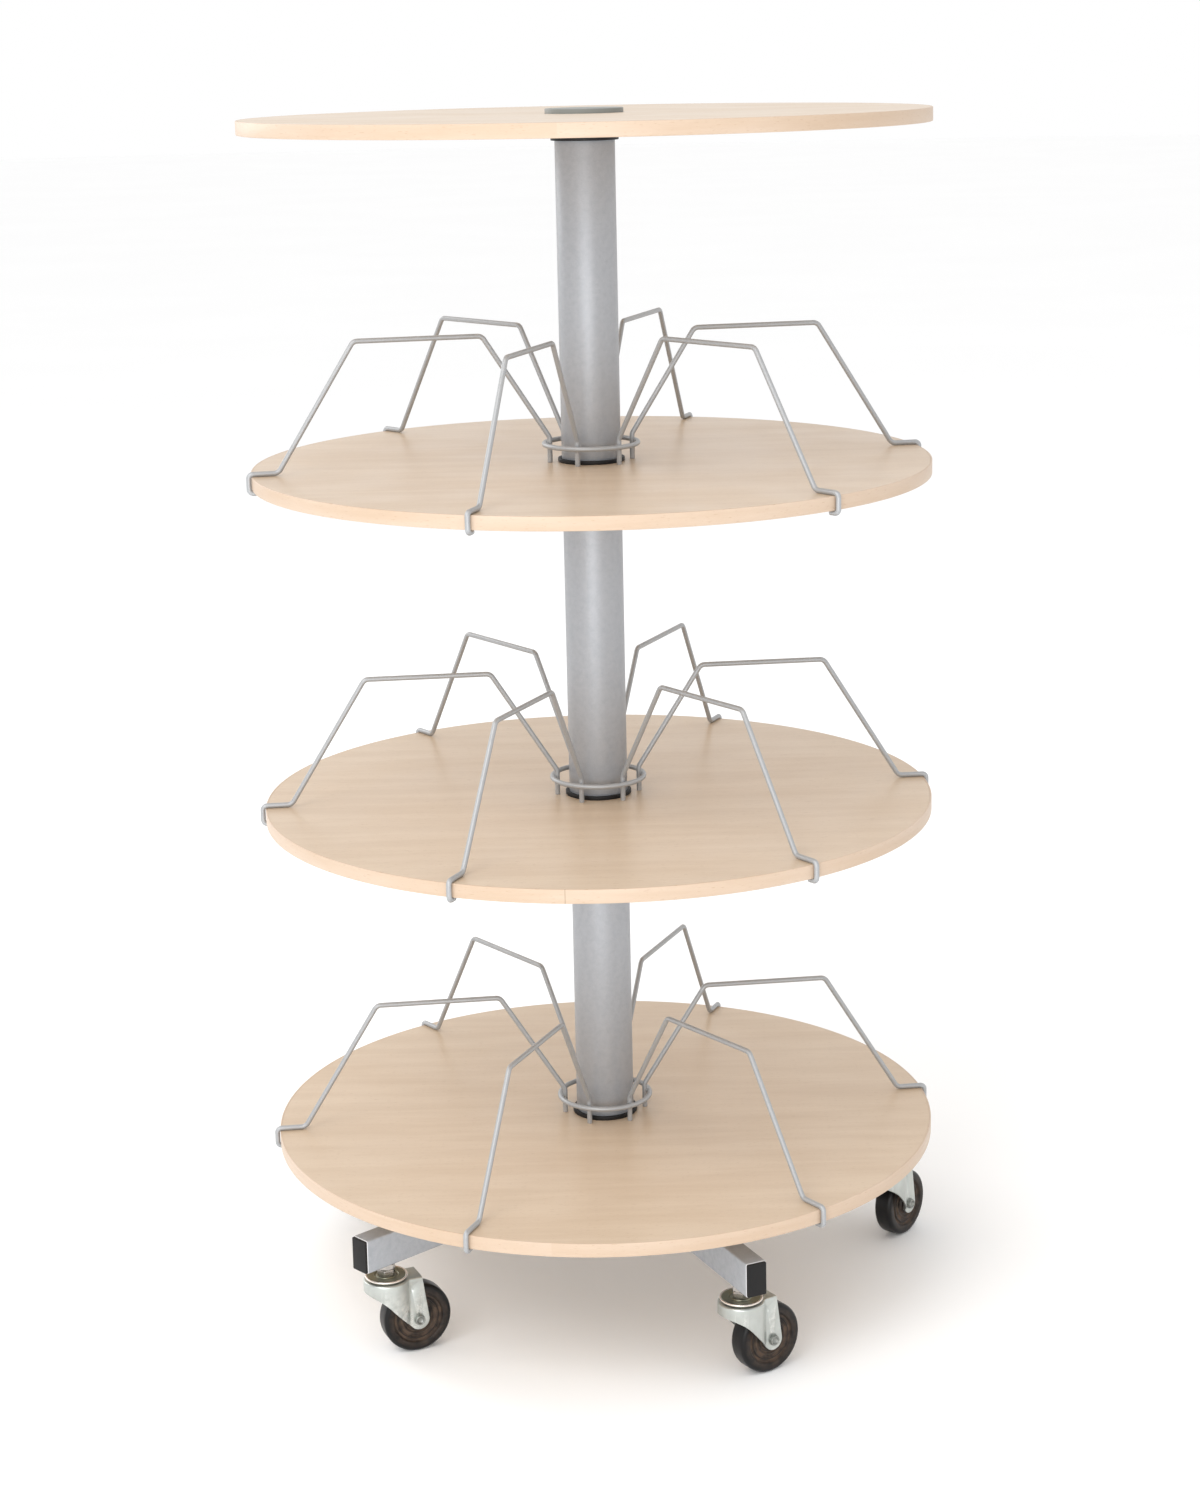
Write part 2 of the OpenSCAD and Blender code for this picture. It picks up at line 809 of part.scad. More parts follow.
wheel(1);  // wheel_front_right
wheel(2);  // wheel_right
wheel(3);  // wheel_rear
wheel(4);  // wheel_left
wheel_bush(0);  // wheel_bush_front_left
wheel_bush(1);  // wheel_bush_front_right
wheel_bush(2);  // wheel_bush_right
wheel_bush(3);  // wheel_bush_rear
wheel_bush(4);  // wheel_bush_left
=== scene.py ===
"""Rotating binder stand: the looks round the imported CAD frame.

Metres. Z is up, the floor is z = 0, the column's axis is x = y = 0 and the front faces -Y.
Angles round the column are counted from the front towards +X.
"""

import json
import math

import bpy
from mathutils import Matrix, Vector


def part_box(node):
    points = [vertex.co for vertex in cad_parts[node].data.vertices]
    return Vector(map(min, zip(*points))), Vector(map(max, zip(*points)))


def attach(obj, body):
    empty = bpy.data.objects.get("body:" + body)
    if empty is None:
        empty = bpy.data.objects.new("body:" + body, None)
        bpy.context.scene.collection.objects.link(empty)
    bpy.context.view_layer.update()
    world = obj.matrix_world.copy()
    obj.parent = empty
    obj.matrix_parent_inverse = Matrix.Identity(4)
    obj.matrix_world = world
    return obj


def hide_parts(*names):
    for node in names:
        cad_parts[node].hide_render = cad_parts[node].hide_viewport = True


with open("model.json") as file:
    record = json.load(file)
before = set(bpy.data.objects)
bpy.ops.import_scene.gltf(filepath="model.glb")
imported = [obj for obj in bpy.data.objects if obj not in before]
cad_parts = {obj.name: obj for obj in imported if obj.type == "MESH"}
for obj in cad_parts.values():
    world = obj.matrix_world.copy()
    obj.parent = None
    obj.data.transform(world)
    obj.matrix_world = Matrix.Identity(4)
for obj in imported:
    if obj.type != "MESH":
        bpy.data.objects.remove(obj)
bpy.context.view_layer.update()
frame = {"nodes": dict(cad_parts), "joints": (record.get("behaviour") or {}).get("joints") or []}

MM = 0.001

# Steps round boards, tubes and small turned pieces
STEPS_BOARD = 288
STEPS_TUBE = 128
STEPS_SMALL = 64

# Turn of each shelf's dividers, from the front
DIVIDER_TURN = {"lower": -23, "middle": -24, "upper": -19}
TIERS = list(DIVIDER_TURN)
BOARDS = TIERS + ["top"]
CORNERS = ["front_left", "front_right", "right", "rear", "left"]

# Where the joint in each board's edge band shows, from the front
BAND_JOINT = {"lower": 171, "middle": -5.5, "upper": 158, "top": 176}


def low(node):
    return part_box(node)[0]


def high(node):
    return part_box(node)[1]


# Boards and column, measured on the frame
SHELF_R = high("lower_edge_band").x
BAND_T = 2 * MM
BAND_ROUND = 0.8 * MM
BOARD_T = high("lower_board").z - low("lower_board").z
FACE_Z = {board: high(board + "_board").z for board in BOARDS}
COLUMN_R = high("lower_column_tube").x
COLUMN_WALL = 2 * MM
RING_R = high("lower_bush").x
MAST_R = high("mast").x
SLEEVE_R = 30.08 * MM
RUN_FIT = 0.08 * MM
CUP_FLOOR = 1.5 * MM
CUP_H = high("lower_bush").z - FACE_Z["lower"]
RECESS_DEPTH = 6 * MM
CAP_R = high("top_cap").x
RING_DROP = 15 * MM
RING_LIP = 0.5 * MM
COLLAR_SEAT = 3 * MM

# Dividers: the wire, and its bends as distances from the axis or in from the rim
WIRE_R = (high("lower_divider_ring").z - low("lower_divider_ring").z) / 2
WIRE_SIDES = 20
DIVIDER_COUNT = 6
INNER_BEND_R = 127 * MM
OUTER_BEND_IN = 123 * MM
FOOT_BEND_IN = 31 * MM
HOOK_TIP = 12 * MM
FOOT_H = 30 * MM
HOOK_CLEAR = 0.5 * MM
LIE = 0.1 * MM
BEND_R = 9 * MM
HOOK_BEND_R = 5 * MM
WELD_DEPTH = 0.3 * MM

# Base: the arms' rectangular tube and the caps in its ends
ARM_W = 25 * MM
ARM_Z = low("arm_right").z
ARM_TOP = high("arm_right").z
ARM_WALL = 1.5 * MM
ARM_ROUND = 2 * MM
ARM_END = 389 * MM
ARM_EDGE = 0.8 * MM
END_CAP_T = 3 * MM
END_CAP_PLUG = 14 * MM
END_CAP_CLEAR = 0.2 * MM
END_CAP_IN = 0.6 * MM
HUB_WALL = 3 * MM
STEM_R = 6 * MM

AXLE_Z = (low("axle_right").z + high("axle_right").z) / 2


def from_front(angle):
    """The turn about Z that carries +X to an angle counted from the front towards +X."""
    return Matrix.Rotation(math.radians(angle - 90), 4, "Z")


def joint_place(name):
    joint = next(j for j in frame["joints"] if j["name"] == name)
    return Vector(joint["pos_m"])


def arm_frame(corner):
    """The floor under the column, turned so that one arm runs along +X."""
    stem = joint_place("swivel_" + corner)
    return Matrix.Rotation(math.atan2(stem.y, stem.x), 4, "Z")


def stem_reach(corner):
    return joint_place("swivel_" + corner).xy.length


def caster_frame(corner):
    stem = joint_place("swivel_" + corner)
    trail = joint_place("roll_" + corner) - stem
    turn = Matrix.Rotation(math.atan2(trail.y, trail.x), 4, "Z")
    return Matrix.Translation((stem.x, stem.y, 0)) @ turn


def axle_frame(corner):
    """One wheel's middle, with Z along the axle."""
    trail = (joint_place("roll_" + corner) - joint_place("swivel_" + corner)).xy.length
    to_axle = Matrix.Translation((trail, 0, AXLE_Z)) @ Matrix.Rotation(math.pi / 2, 4, "X")
    return caster_frame(corner) @ to_axle


def reach(node, place):
    """How far a node reaches from another frame's origin: its lowest and highest corners there."""
    back = place.inverted()
    points = [back @ vertex.co for vertex in frame["nodes"][node].data.vertices]
    lowest = Vector([min(point[axis] for point in points) for axis in range(3)])
    highest = Vector([max(point[axis] for point in points) for axis in range(3)])
    return lowest, highest


# Casters, in a frame with the swivel axis as Z and the wheel trailing towards +X
TRAIL = (joint_place("roll_right") - joint_place("swivel_right")).xy.length
FORK_LOW, FORK_HIGH = reach("fork_right", caster_frame("right"))
FORK_TOP = FORK_HIGH.z
FORK_T = 2.5 * MM
HEAD_R = -FORK_LOW.x
LEG_HALF = AXLE_Z - FORK_LOW.z
LEG_SLANT = 8 * MM
SKIRT_H = 12 * MM
SKIRT_FALL = 4 * MM
SKIRT_SIDE = 19 * MM
FORK_ROUND = 2.4 * MM
CREASE_ROUND = 2.5 * MM
AXLE_R = 4 * MM
AXLE_HEAD = reach("axle_right", axle_frame("right"))[1]
LEG_OUT = AXLE_HEAD.z - 4 * MM
WHEEL = reach("wheel_right", axle_frame("right"))[1]
WHEEL_R = AXLE_Z
WHEEL_HALF = WHEEL.z - 0.5 * MM
DISC_R = high("caster_swivel_discs").x - max(joint_place("swivel_" + corner).x for corner in CORNERS)
HEX_W = 19 * MM

# Raised rings on a wheel's sides: radii of the foot, both edges of the top, and the foot again
RAISED_RINGS = [(17.4, 18, 19.6, 20.4), (23.4, 24, 25.6, 26.2)]
RAISED_H = 1.4 * MM


# Modelling by hand: primitives, edit mode and applied modifiers


def deselect():
    if bpy.context.mode != "OBJECT":
        bpy.ops.object.mode_set(mode="OBJECT")
    bpy.ops.object.select_all(action="DESELECT")


def take(piece):
    """Makes one piece the only selected and the active one."""
    deselect()
    piece.select_set(True)
    bpy.context.view_layer.objects.active = piece


def settle(piece):
    """Puts the piece's place into its mesh."""
    take(piece)
    bpy.ops.object.transform_apply(location=True, rotation=True, scale=True)
    return piece


def tidy_mesh():
    """In edit mode: doubles merged and faces turned outwards."""
    bpy.ops.mesh.select_all(action="SELECT")
    bpy.ops.mesh.remove_doubles(threshold=1e-6)
    bpy.ops.mesh.normals_make_consistent(inside=False)
    bpy.ops.object.mode_set(mode="OBJECT")


def traced(name, points):
    """A new piece, left in edit mode: one vertex at the first point, drawn on to each next one."""
    deselect()
    bpy.ops.mesh.primitive_plane_add(size=MM, location=points[0])
    piece = bpy.context.object
    piece.name = name
    bpy.ops.object.transform_apply(location=True)
    bpy.ops.object.mode_set(mode="EDIT")
    bpy.ops.mesh.merge(type="CENTER")
    for start, end in zip(points, points[1:]):
        step = Vector(end) - Vector(start)
        bpy.ops.mesh.extrude_region_move(TRANSFORM_OT_translate={"value": step})
    return piece


def turned(name, outline, steps):
    """A piece turned on a lathe: points of (radius, height), closed unless both ends are on the axis."""
    points = [(radius, 0, height) for radius, height in outline]
    if outline[0][0] > 0 or outline[-1][0] > 0:
        points.append(points[0])
    piece = traced(name, points)
    bpy.ops.mesh.select_all(action="SELECT")
    bpy.ops.mesh.spin(steps=steps, angle=math.tau, center=(0, 0, 0), axis=(0, 0, 1))
    tidy_mesh()
    return piece


def prism(name, outline, along):
    """A straight piece: a flat outline of 3-D points, filled and extruded along a vector."""
    piece = traced(name, outline + outline[:1])
    bpy.ops.mesh.select_all(action="SELECT")
    bpy.ops.mesh.remove_doubles(threshold=1e-6)
    bpy.ops.mesh.edge_face_add()
    bpy.ops.mesh.extrude_region_move(TRANSFORM_OT_translate={"value": along})
    tidy_mesh()
    return piece


def arc(centre, radius, start, end, steps):
    """Points of (x, y) on an arc, from one angle to another in degrees."""
    points = []
    for i in range(steps + 1):
        angle = math.radians(start + (end - start) * i / steps)
        points.append((centre[0] + radius * math.cos(angle), centre[1] + radius * math.sin(angle)))
    return points


def curve(start, control, end, steps):
    """Points of (x, y) on a curve that leaves its start and meets its end towards a control point."""
    points = []
    for i in range(steps + 1):
        t = i / steps
        weights = ((1 - t) ** 2, 2 * t * (1 - t), t ** 2)
        points.append(tuple(sum(w * p[k] for w, p in zip(weights, (start, control, end))) for k in (0, 1)))
    return points


def bevel_edges(piece, chosen, width, segments):
    """Rounds the edges whose two ends satisfy a test."""
    take(piece)
    mesh = piece.data
    for edge in mesh.edges:
        ends = [mesh.vertices[i].co for i in edge.vertices]
        edge.select = all(chosen(end) for end in ends)
    for face in mesh.polygons:
        face.select = False
    for vertex in mesh.vertices:
        vertex.select = chosen(vertex.co)
    bpy.ops.object.mode_set(mode="EDIT")
    bpy.ops.mesh.select_mode(type="EDGE")
    bpy.ops.mesh.bevel(offset=width, segments=segments, affect="EDGES")
    bpy.ops.mesh.select_mode(type="VERT")
    tidy_mesh()


def apply_modifier(piece, kind, **settings):
    take(piece)
    modifier = piece.modifiers.new(kind.lower(), kind)
    for key, value in settings.items():
        setattr(modifier, key, value)
    bpy.ops.object.modifier_apply(modifier=modifier.name)


def soften(piece, width, segments=2, angle=40):
    """Breaks every edge sharper than an angle."""
    apply_modifier(
        piece, "BEVEL", width=width, segments=segments, limit_method="ANGLE",
        angle_limit=math.radians(angle))


def carve(piece, tool, operation="DIFFERENCE"):
    """Cuts, joins or crops a piece with another one, which is used up."""
    apply_modifier(piece, "BOOLEAN", object=tool, operation=operation, solver="EXACT")
    bpy.data.objects.remove(tool)


def smooth(piece, angle=35):
    take(piece)
    bpy.ops.object.shade_smooth_by_angle(angle=math.radians(angle))


def stand(piece, place):
    piece.matrix_world = place
    return settle(piece)


def copy_at(piece, name, place):
    """A copy with its own mesh, at another place."""
    take(piece)
    bpy.ops.object.duplicate(linked=False)
    copy = bpy.context.object
    copy.name = name
    return stand(copy, place)


def joined(pieces, name):
    take(pieces[0])
    for piece in pieces[1:]:
        piece.select_set(True)
    bpy.ops.object.join()
    pieces[0].name = name
    return pieces[0]


def mark_wear_and_highlight(piece, chosen):
    """Marks the points that satisfy a test to be painted bright: worn edges, and painted highlights."""
    wear_and_highlight = piece.data.attributes.new("wear_and_highlight", "FLOAT", "POINT")
    for share, vertex in zip(wear_and_highlight.data, piece.data.vertices):
        share.value = 1.0 if chosen(vertex.co) else 0.0


def drill(piece, radius, place, depth):
    """Drills a round hole from both sides of a place, along its Z."""
    deselect()
    bpy.ops.mesh.primitive_cylinder_add(vertices=STEPS_SMALL, radius=radius, depth=depth)
    bit = bpy.context.object
    carve(piece, stand(bit, place))


def dress(piece, body, slot, material, *nodes):
    """Gives a finished piece its material, and says what it rides on and stands for."""
    piece.data.materials.clear()
    piece.data.materials.append(material)
    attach(piece, body)
    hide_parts(*nodes)


# Node trees of materials and of the effects that they share


class Graph:
    """A node tree, with one call for each node and what feeds it."""

    def __init__(self, tree):
        self.tree = tree

    def feed(self, node, inputs):
        for key, value in inputs.items():
            if isinstance(value, bpy.types.NodeSocket):
                self.tree.links.new(value, node.inputs[key])
            else:
                node.inputs[key].default_value = value

    def node(self, kind, inputs, **settings):
        node = self.tree.nodes.new("ShaderNode" + kind)
        for key, value in settings.items():
            setattr(node, key, value)
        self.feed(node, inputs)
        return node

    def count(self, operation, first, second=0.0):
        """One sum on two numbers."""
        return self.node("Math", {0: first, 1: second}, operation=operation).outputs[0]

    def stretch(self, vector, by):
        return self.node("VectorMath", {0: vector, 1: by}, operation="MULTIPLY").outputs[0]

    def noise(self, vector, scale, detail=2.0):
        inputs = {"Vector": vector, "Scale": scale, "Detail": detail}
        return self.node("TexNoise", inputs).outputs["Fac"]

    def mask(self, value, start, end):
        """A soft step: 0 at the first number and 1 at the second."""
        inputs = {"Value": value, "From Min": start, "From Max": end}
        return self.node("MapRange", inputs, interpolation_type="SMOOTHSTEP").outputs["Result"]

    def blend(self, factor, first, second):
        """A colour between two."""
        return self.node("Mix", {0: factor, 6: first, 7: second}, data_type="RGBA").outputs[2]

    def bump(self, height, distance, strength=1.0):
        inputs = {"Height": height, "Distance": distance, "Strength": strength}
        return self.node("Bump", inputs).outputs["Normal"]

    def wear_and_highlight(self):
        """How bright a place is painted where a piece's points say so: wear, and painted highlight."""
        return self.node("Attribute", {}, attribute_name="wear_and_highlight").outputs["Fac"]

    def group(self, shared, inputs):
        node = self.tree.nodes.new("ShaderNodeGroup")
        node.node_tree = shared
        self.feed(node, inputs)
        return node.outputs


def tone(red, green, blue):
    """A colour as it shows on a screen, 0 to 255, made linear."""
    linear = [((c / 255 + 0.055) / 1.055) ** 2.4 for c in (red, green, blue)]
    return (*linear, 1.0)


def shared_group(name, inputs, outputs):
    """An empty group with named sockets: its tree, its graph, and what goes in and out."""
    tree = bpy.data.node_groups.new(name, "ShaderNodeTree")
    for socket, kind in inputs.items():
        tree.interface.new_socket(socket, in_out="INPUT", socket_type="NodeSocket" + kind)
    for socket, kind in outputs.items():
        tree.interface.new_socket(socket, in_out="OUTPUT", socket_type="NodeSocket" + kind)
    given = tree.nodes.new("NodeGroupInput").outputs
    result = tree.nodes.new("NodeGroupOutput")
    return tree, Graph(tree), given, result


def wood_grain_group():
    """Straight fine grain along the vector's X, with short flecks, between two tones."""
    tree, graph, given, result = shared_group(
        "Wood grain", {"Vector": "Vector", "Light": "Color", "Dark": "Color", "Fleck": "Color"},
        {"Color": "Color", "Height": "Float"})
    place = given["Vector"]
    cloud = graph.noise(graph.stretch(place, (1.0, 7.0, 7.0)), 5.0, 4.0)
    streak = graph.noise(graph.stretch(place, (2.0, 36.0, 36.0)), 5.0, 6.0)
    hair = graph.noise(graph.stretch(place, (1.0, 30.0, 30.0)), 40.0, 3.0)
    fleck = graph.noise(graph.stretch(place, (1.0, 9.0, 9.0)), 120.0, 1.0)
    depth = graph.count("MULTIPLY", graph.mask(streak, 0.25, 0.75), 0.24)
    broad = graph.count("MULTIPLY", graph.mask(cloud, 0.3, 0.7), 0.62)
    fine = graph.count("MULTIPLY", graph.mask(hair, 0.35, 0.65), 0.14)
    amount = graph.count("ADD", graph.count("ADD", depth, broad), fine)
    wood = graph.blend(amount, given["Light"], given["Dark"])
    flecked = graph.blend(graph.mask(fleck, 0.66, 0.74), wood, given["Fleck"])
    graph.feed(result, {"Color": flecked, "Height": hair})
    return tree


def clouds_group():
    """Soft patches of one colour over another, as on plated or painted metal."""
    tree, graph, given, result = shared_group(
        "Clouds", {"Vector": "Vector", "Scale": "Float", "First": "Color", "Second": "Color"},
        {"Color": "Color", "Mask": "Float"})
    patches = graph.mask(graph.noise(given["Vector"], given["Scale"], 4.0), 0.35, 0.65)
    graph.feed(result, {"Color": graph.blend(patches, given["First"], given["Second"]), "Mask": patches})
    return tree


def dust_group():
    """Loose dust: more on faces that look up, broken into patches."""
    tree, graph, given, result = shared_group(
        "Dust", {"Vector": "Vector", "Scale": "Float", "Amount": "Float"}, {"Mask": "Float"})
    normal = graph.node("NewGeometry", {}).outputs["Normal"]
    upward = graph.node("SeparateXYZ", {0: normal}).outputs["Z"]
    facing = graph.mask(upward, 0.2, 1.0)
    patches = graph.mask(graph.noise(given["Vector"], given["Scale"], 5.0), 0.35, 0.75)
    laid = graph.count("MULTIPLY", facing, patches)
    graph.feed(result, {"Mask": graph.count("MULTIPLY", laid, given["Amount"])})
    return tree


def edge_wear_group():
    """Rubbed outer edges, a little uneven."""
    tree, graph, given, result = shared_group(
        "Edge wear", {"Vector": "Vector", "Amount": "Float"}, {"Mask": "Float"})
    outer = graph.mask(graph.node("NewGeometry", {}).outputs["Pointiness"], 0.5, 0.62)
    uneven = graph.mask(graph.noise(given["Vector"], 160.0, 3.0), 0.2, 0.7)
    wear_and_highlight = graph.count("MULTIPLY", outer, uneven)
    graph.feed(result, {"Mask": graph.count("MULTIPLY", wear_and_highlight, given["Amount"])})
    return tree


def surface_group():
    """The fine unevenness of a coat or a moulding: a wide and a narrow grain in one height."""
    tree, graph, given, result = shared_group(
        "Surface", {"Vector": "Vector", "Scale": "Float"}, {"Height": "Float"})
    narrow = graph.noise(given["Vector"], given["Scale"], 2.0)
    wide = graph.noise(given["Vector"], graph.count("MULTIPLY", given["Scale"], 0.2), 1.0)
    graph.feed(result, {"Height": graph.count("ADD", narrow, wide)})
    return tree


WOOD_GRAIN = wood_grain_group()
CLOUDS = clouds_group()
DUST = dust_group()
EDGE_WEAR = edge_wear_group()
SURFACE = surface_group()


def new_finish(name, **constants):
    """A new material: itself, its graph, its shader and its object coordinates."""
    material = bpy.data.materials.new(name)
    material.use_nodes = True
    graph = Graph(material.node_tree)
    shader = material.node_tree.nodes["Principled BSDF"]
    graph.feed(shader, {key.replace("_", " "): value for key, value in constants.items()})
    place = graph.node("TexCoord", {}).outputs["Object"]
    return material, graph, shader, place


def laminate(board):
    """Pale wood-grain laminate, its grain along X and from another place on each board."""
    material, graph, shader, place = new_finish("laminate_" + board)
    shift = (0.37 * BOARDS.index(board), 0.9 * BOARDS.index(board), 0)
    sheet = graph.node("Mapping", {"Vector": place, "Location": shift}).outputs[0]
    grain = graph.group(WOOD_GRAIN, {
        "Vector": sheet, "Light": tone(209, 189, 165), "Dark": tone(198, 175, 149),
        "Fleck": tone(186, 161, 134)})
    sheen = graph.group(CLOUDS, {"Vector": place, "Scale": 9.0})["Mask"]
    graph.feed(shader, {
        "Base Color": grain["Color"],
        "Roughness": graph.count("ADD", graph.count("MULTIPLY", sheen, 0.06), 0.3),
        "Normal": graph.bump(grain["Height"], 0.02 * MM)})
    return material


def banding(board):
    """Edge band: the grain runs round the rim, and its two ends meet at a thin joint."""
    material, graph, shader, place = new_finish("banding_" + board)
    turn = (0, 0, math.radians(90 - BAND_JOINT[board]))
    unrolled = graph.node("Mapping", {"Vector": place, "Rotation": turn}).outputs[0]
    across = graph.node("SeparateXYZ", {0: unrolled}).outputs
    angle = graph.count("ARCTAN2", across["Y"], across["X"])
    length = graph.count("MULTIPLY", angle, SHELF_R)
    strip = graph.node("CombineXYZ", {"X": length, "Y": across["Z"]}).outputs[0]
    grain = graph.group(WOOD_GRAIN, {
        "Vector": strip, "Light": tone(207, 186, 166), "Dark": tone(196, 171, 146),
        "Fleck": tone(186, 158, 131)})
    joint = graph.mask(graph.count("ABSOLUTE", length), 0.5 * MM, 0.15 * MM)
    graph.feed(shader, {
        "Base Color": graph.blend(joint, grain["Color"], tone(150, 126, 102)),
        "Roughness": graph.count("ADD", graph.count("MULTIPLY", grain["Height"], 0.1), 0.36),
        "Normal": graph.bump(grain["Height"], 0.02 * MM)})
    return material


def silver_coat(name, light, dark, roughness, metallic):
    """Satin silver powder coat: fine bright flakes in a slightly pebbled coat, bright at worn edges and at
    painted highlights.
    """
    material, graph, shader, place = new_finish(name, Metallic=metallic)
    flakes = graph.group(CLOUDS, {"Vector": place, "Scale": 2400.0, "First": dark, "Second": light})
    edges = graph.group(EDGE_WEAR, {"Vector": place, "Amount": 0.3})["Mask"]
    # Brightened where edges are worn, and where a piece's points mark a painted highlight.
    worn_and_highlit = graph.count("MAXIMUM", edges, graph.wear_and_highlight())
    cloud = graph.group(CLOUDS, {"Vector": place, "Scale": 6.0})["Mask"]
    pebbles = graph.group(SURFACE, {"Vector": place, "Scale": 900.0})["Height"]
    graph.feed(shader, {
        "Base Color": graph.blend(worn_and_highlit, flakes["Color"], tone(232, 232, 234)),
        "Roughness": graph.count("ADD", graph.count("MULTIPLY", cloud, 0.03), roughness),
        "Normal": graph.bump(pebbles, 0.02 * MM)})
    return material


def moulded(name, colour, dust_colour, roughness, dust):
    """Moulded plastic with a fine grain and a little dust where it looks up."""
    material, graph, shader, place = new_finish(name, Specular_IOR_Level=0.3)
    laid = graph.group(DUST, {"Vector": place, "Scale": 60.0, "Amount": dust})["Mask"]
    worn_and_highlit = graph.group(EDGE_WEAR, {"Vector": place, "Amount": 0.25})["Mask"]
    grain = graph.group(SURFACE, {"Vector": place, "Scale": 1500.0})["Height"]
    wear_and_highlight = graph.blend(worn_and_highlit, colour, dust_colour)
    graph.feed(shader, {
        "Base Color": graph.blend(laid, wear_and_highlight, dust_colour),
        "Roughness": graph.count("ADD", graph.count("MULTIPLY", laid, 0.3), roughness),
        "Normal": graph.bump(grain, 0.05 * MM)})
    return material


def plated(name, first, second, edge, roughness, metallic):
    """Plated steel: cloudy tints, finely mottled, rubbed bright at the edges, and painted highlights where
    a piece's points say so.
    """
    material, graph, shader, place = new_finish(name, Metallic=metallic)
    clouds = graph.group(CLOUDS, {"Vector": place, "Scale": 28.0, "First": first, "Second": second})
    spangle = graph.noise(place, 900.0, 2.0)
    mottled = graph.blend(graph.count("MULTIPLY", spangle, 0.08), clouds["Color"], tone(120, 118, 108))
    edges = graph.group(EDGE_WEAR, {"Vector": place, "Amount": 0.6})["Mask"]
    # Brightened where edges are worn, and where a piece's points mark a painted highlight.
    worn_and_highlit = graph.count("MAXIMUM", edges, graph.wear_and_highlight())
    rough = graph.count("ADD", graph.count("MULTIPLY", spangle, 0.06), roughness)
    relief = graph.group(SURFACE, {"Vector": place, "Scale": 600.0})["Height"]
    graph.feed(shader, {
        "Base Color": graph.blend(worn_and_highlit, mottled, edge),
        "Roughness": graph.count("SUBTRACT", rough, graph.count("MULTIPLY", worn_and_highlit, 0.08)),
        "Normal": graph.bump(relief, 0.012 * MM)})
    return material


def rubber():
    """Black tyre and wheel: a smooth tread, and brown dust in the steps of the sides."""
    material, graph, shader, _ = new_finish("wheel_rubber", Specular_IOR_Level=0.3)
    own = graph.node("Attribute", {}, attribute_name="wheel_place").outputs["Vector"]
    parts = graph.node("SeparateXYZ", {0: own}).outputs
    flat = graph.node("CombineXYZ", {"X": parts["X"], "Y": parts["Y"]}).outputs[0]
    radius = graph.node("VectorMath", {0: flat}, operation="LENGTH").outputs["Value"]
    out = graph.count("ABSOLUTE", parts["Z"])
    side = graph.mask(radius, WHEEL_R - 3 * MM, WHEEL_R - 7 * MM)
    deep = graph.mask(out, WHEEL_HALF, WHEEL_HALF - 2.5 * MM)
    patches = graph.mask(graph.noise(own, 90.0, 5.0), 0.25, 0.7)
    rings = graph.noise(graph.node("CombineXYZ", {"X": radius}).outputs[0], 420.0, 2.0)
    lying = graph.count("ADD", graph.count("MULTIPLY", deep, 0.5), 0.35)
    dusty = graph.count("MULTIPLY", graph.count("MULTIPLY", side, lying), patches)
    ringed = graph.count("MULTIPLY", dusty, graph.mask(rings, 0.25, 0.6))
    grain = graph.group(SURFACE, {"Vector": own, "Scale": 800.0})["Height"]
    graph.feed(shader, {
        "Base Color": graph.blend(ringed, tone(13, 12, 13), tone(98, 80, 66)),
        "Roughness": graph.count("ADD", graph.count("MULTIPLY", ringed, 0.4), 0.35),
        "Normal": graph.bump(grain, 0.05 * MM)})
    return material


SILVER_PAINT = silver_coat("silver_paint", tone(172, 176, 182), tone(156, 160, 166), 0.44, 0.4)
SILVER_WIRE = silver_coat("silver_wire", tone(172, 174, 176), tone(158, 160, 162), 0.42, 0.35)
BLACK_PLASTIC = moulded("black_plastic", tone(20, 19, 20), tone(66, 62, 58), 0.5, 0.2)
GREY_PLASTIC = moulded("grey_plastic", tone(134, 137, 134), tone(170, 170, 166), 0.42, 0.3)
PLAIN_STEEL = plated("plain_steel", tone(176, 172, 168), tone(158, 154, 150), tone(222, 218, 212), 0.3, 0.9)
ZINC = plated("zinc", tone(194, 199, 195), tone(184, 188, 184), tone(232, 234, 230), 0.28, 0.85)
BRIGHT_ZINC = plated(
    "bright_zinc", tone(190, 186, 182), tone(172, 168, 164), tone(236, 232, 226), 0.2, 0.95)
DULL_ZINC = plated("dull_zinc", tone(150, 152, 148), tone(132, 134, 130), tone(214, 214, 210), 0.3, 0.9)
# Its bright edge colour is the painted highlight on the discs' rims, and wear at other edges.
YELLOW_ZINC = plated(
    "yellow_zinc", tone(142, 142, 122), tone(118, 117, 102), tone(236, 226, 218), 0.3, 0.85)
RUBBER = rubber()


# Boards


def body_of_board(board):
    return "top_plate" if board == "top" else board + "_tier"


def board_panel(board):
    """A round laminated panel with a hole for its bush, and for the cap in the top plate."""
    top = FACE_Z[board]
    under = top - BOARD_T
    rim = SHELF_R - BAND_T - LIE
    hole = SLEEVE_R + LIE
    outline = [(hole, under), (rim, under), (rim, top), (hole, top)]
    if board == "top":
        recess = CAP_R + 0.5 * MM
        outline[3:] = [(recess, top), (recess, top - RECESS_DEPTH), (hole, top - RECESS_DEPTH)]
    panel = turned(board + "_panel", outline, STEPS_BOARD)
    soften(panel, 0.15 * MM, 1)
    smooth(panel)
    dress(panel, body_of_board(board), "wood_laminate", laminate(board), board + "_board")


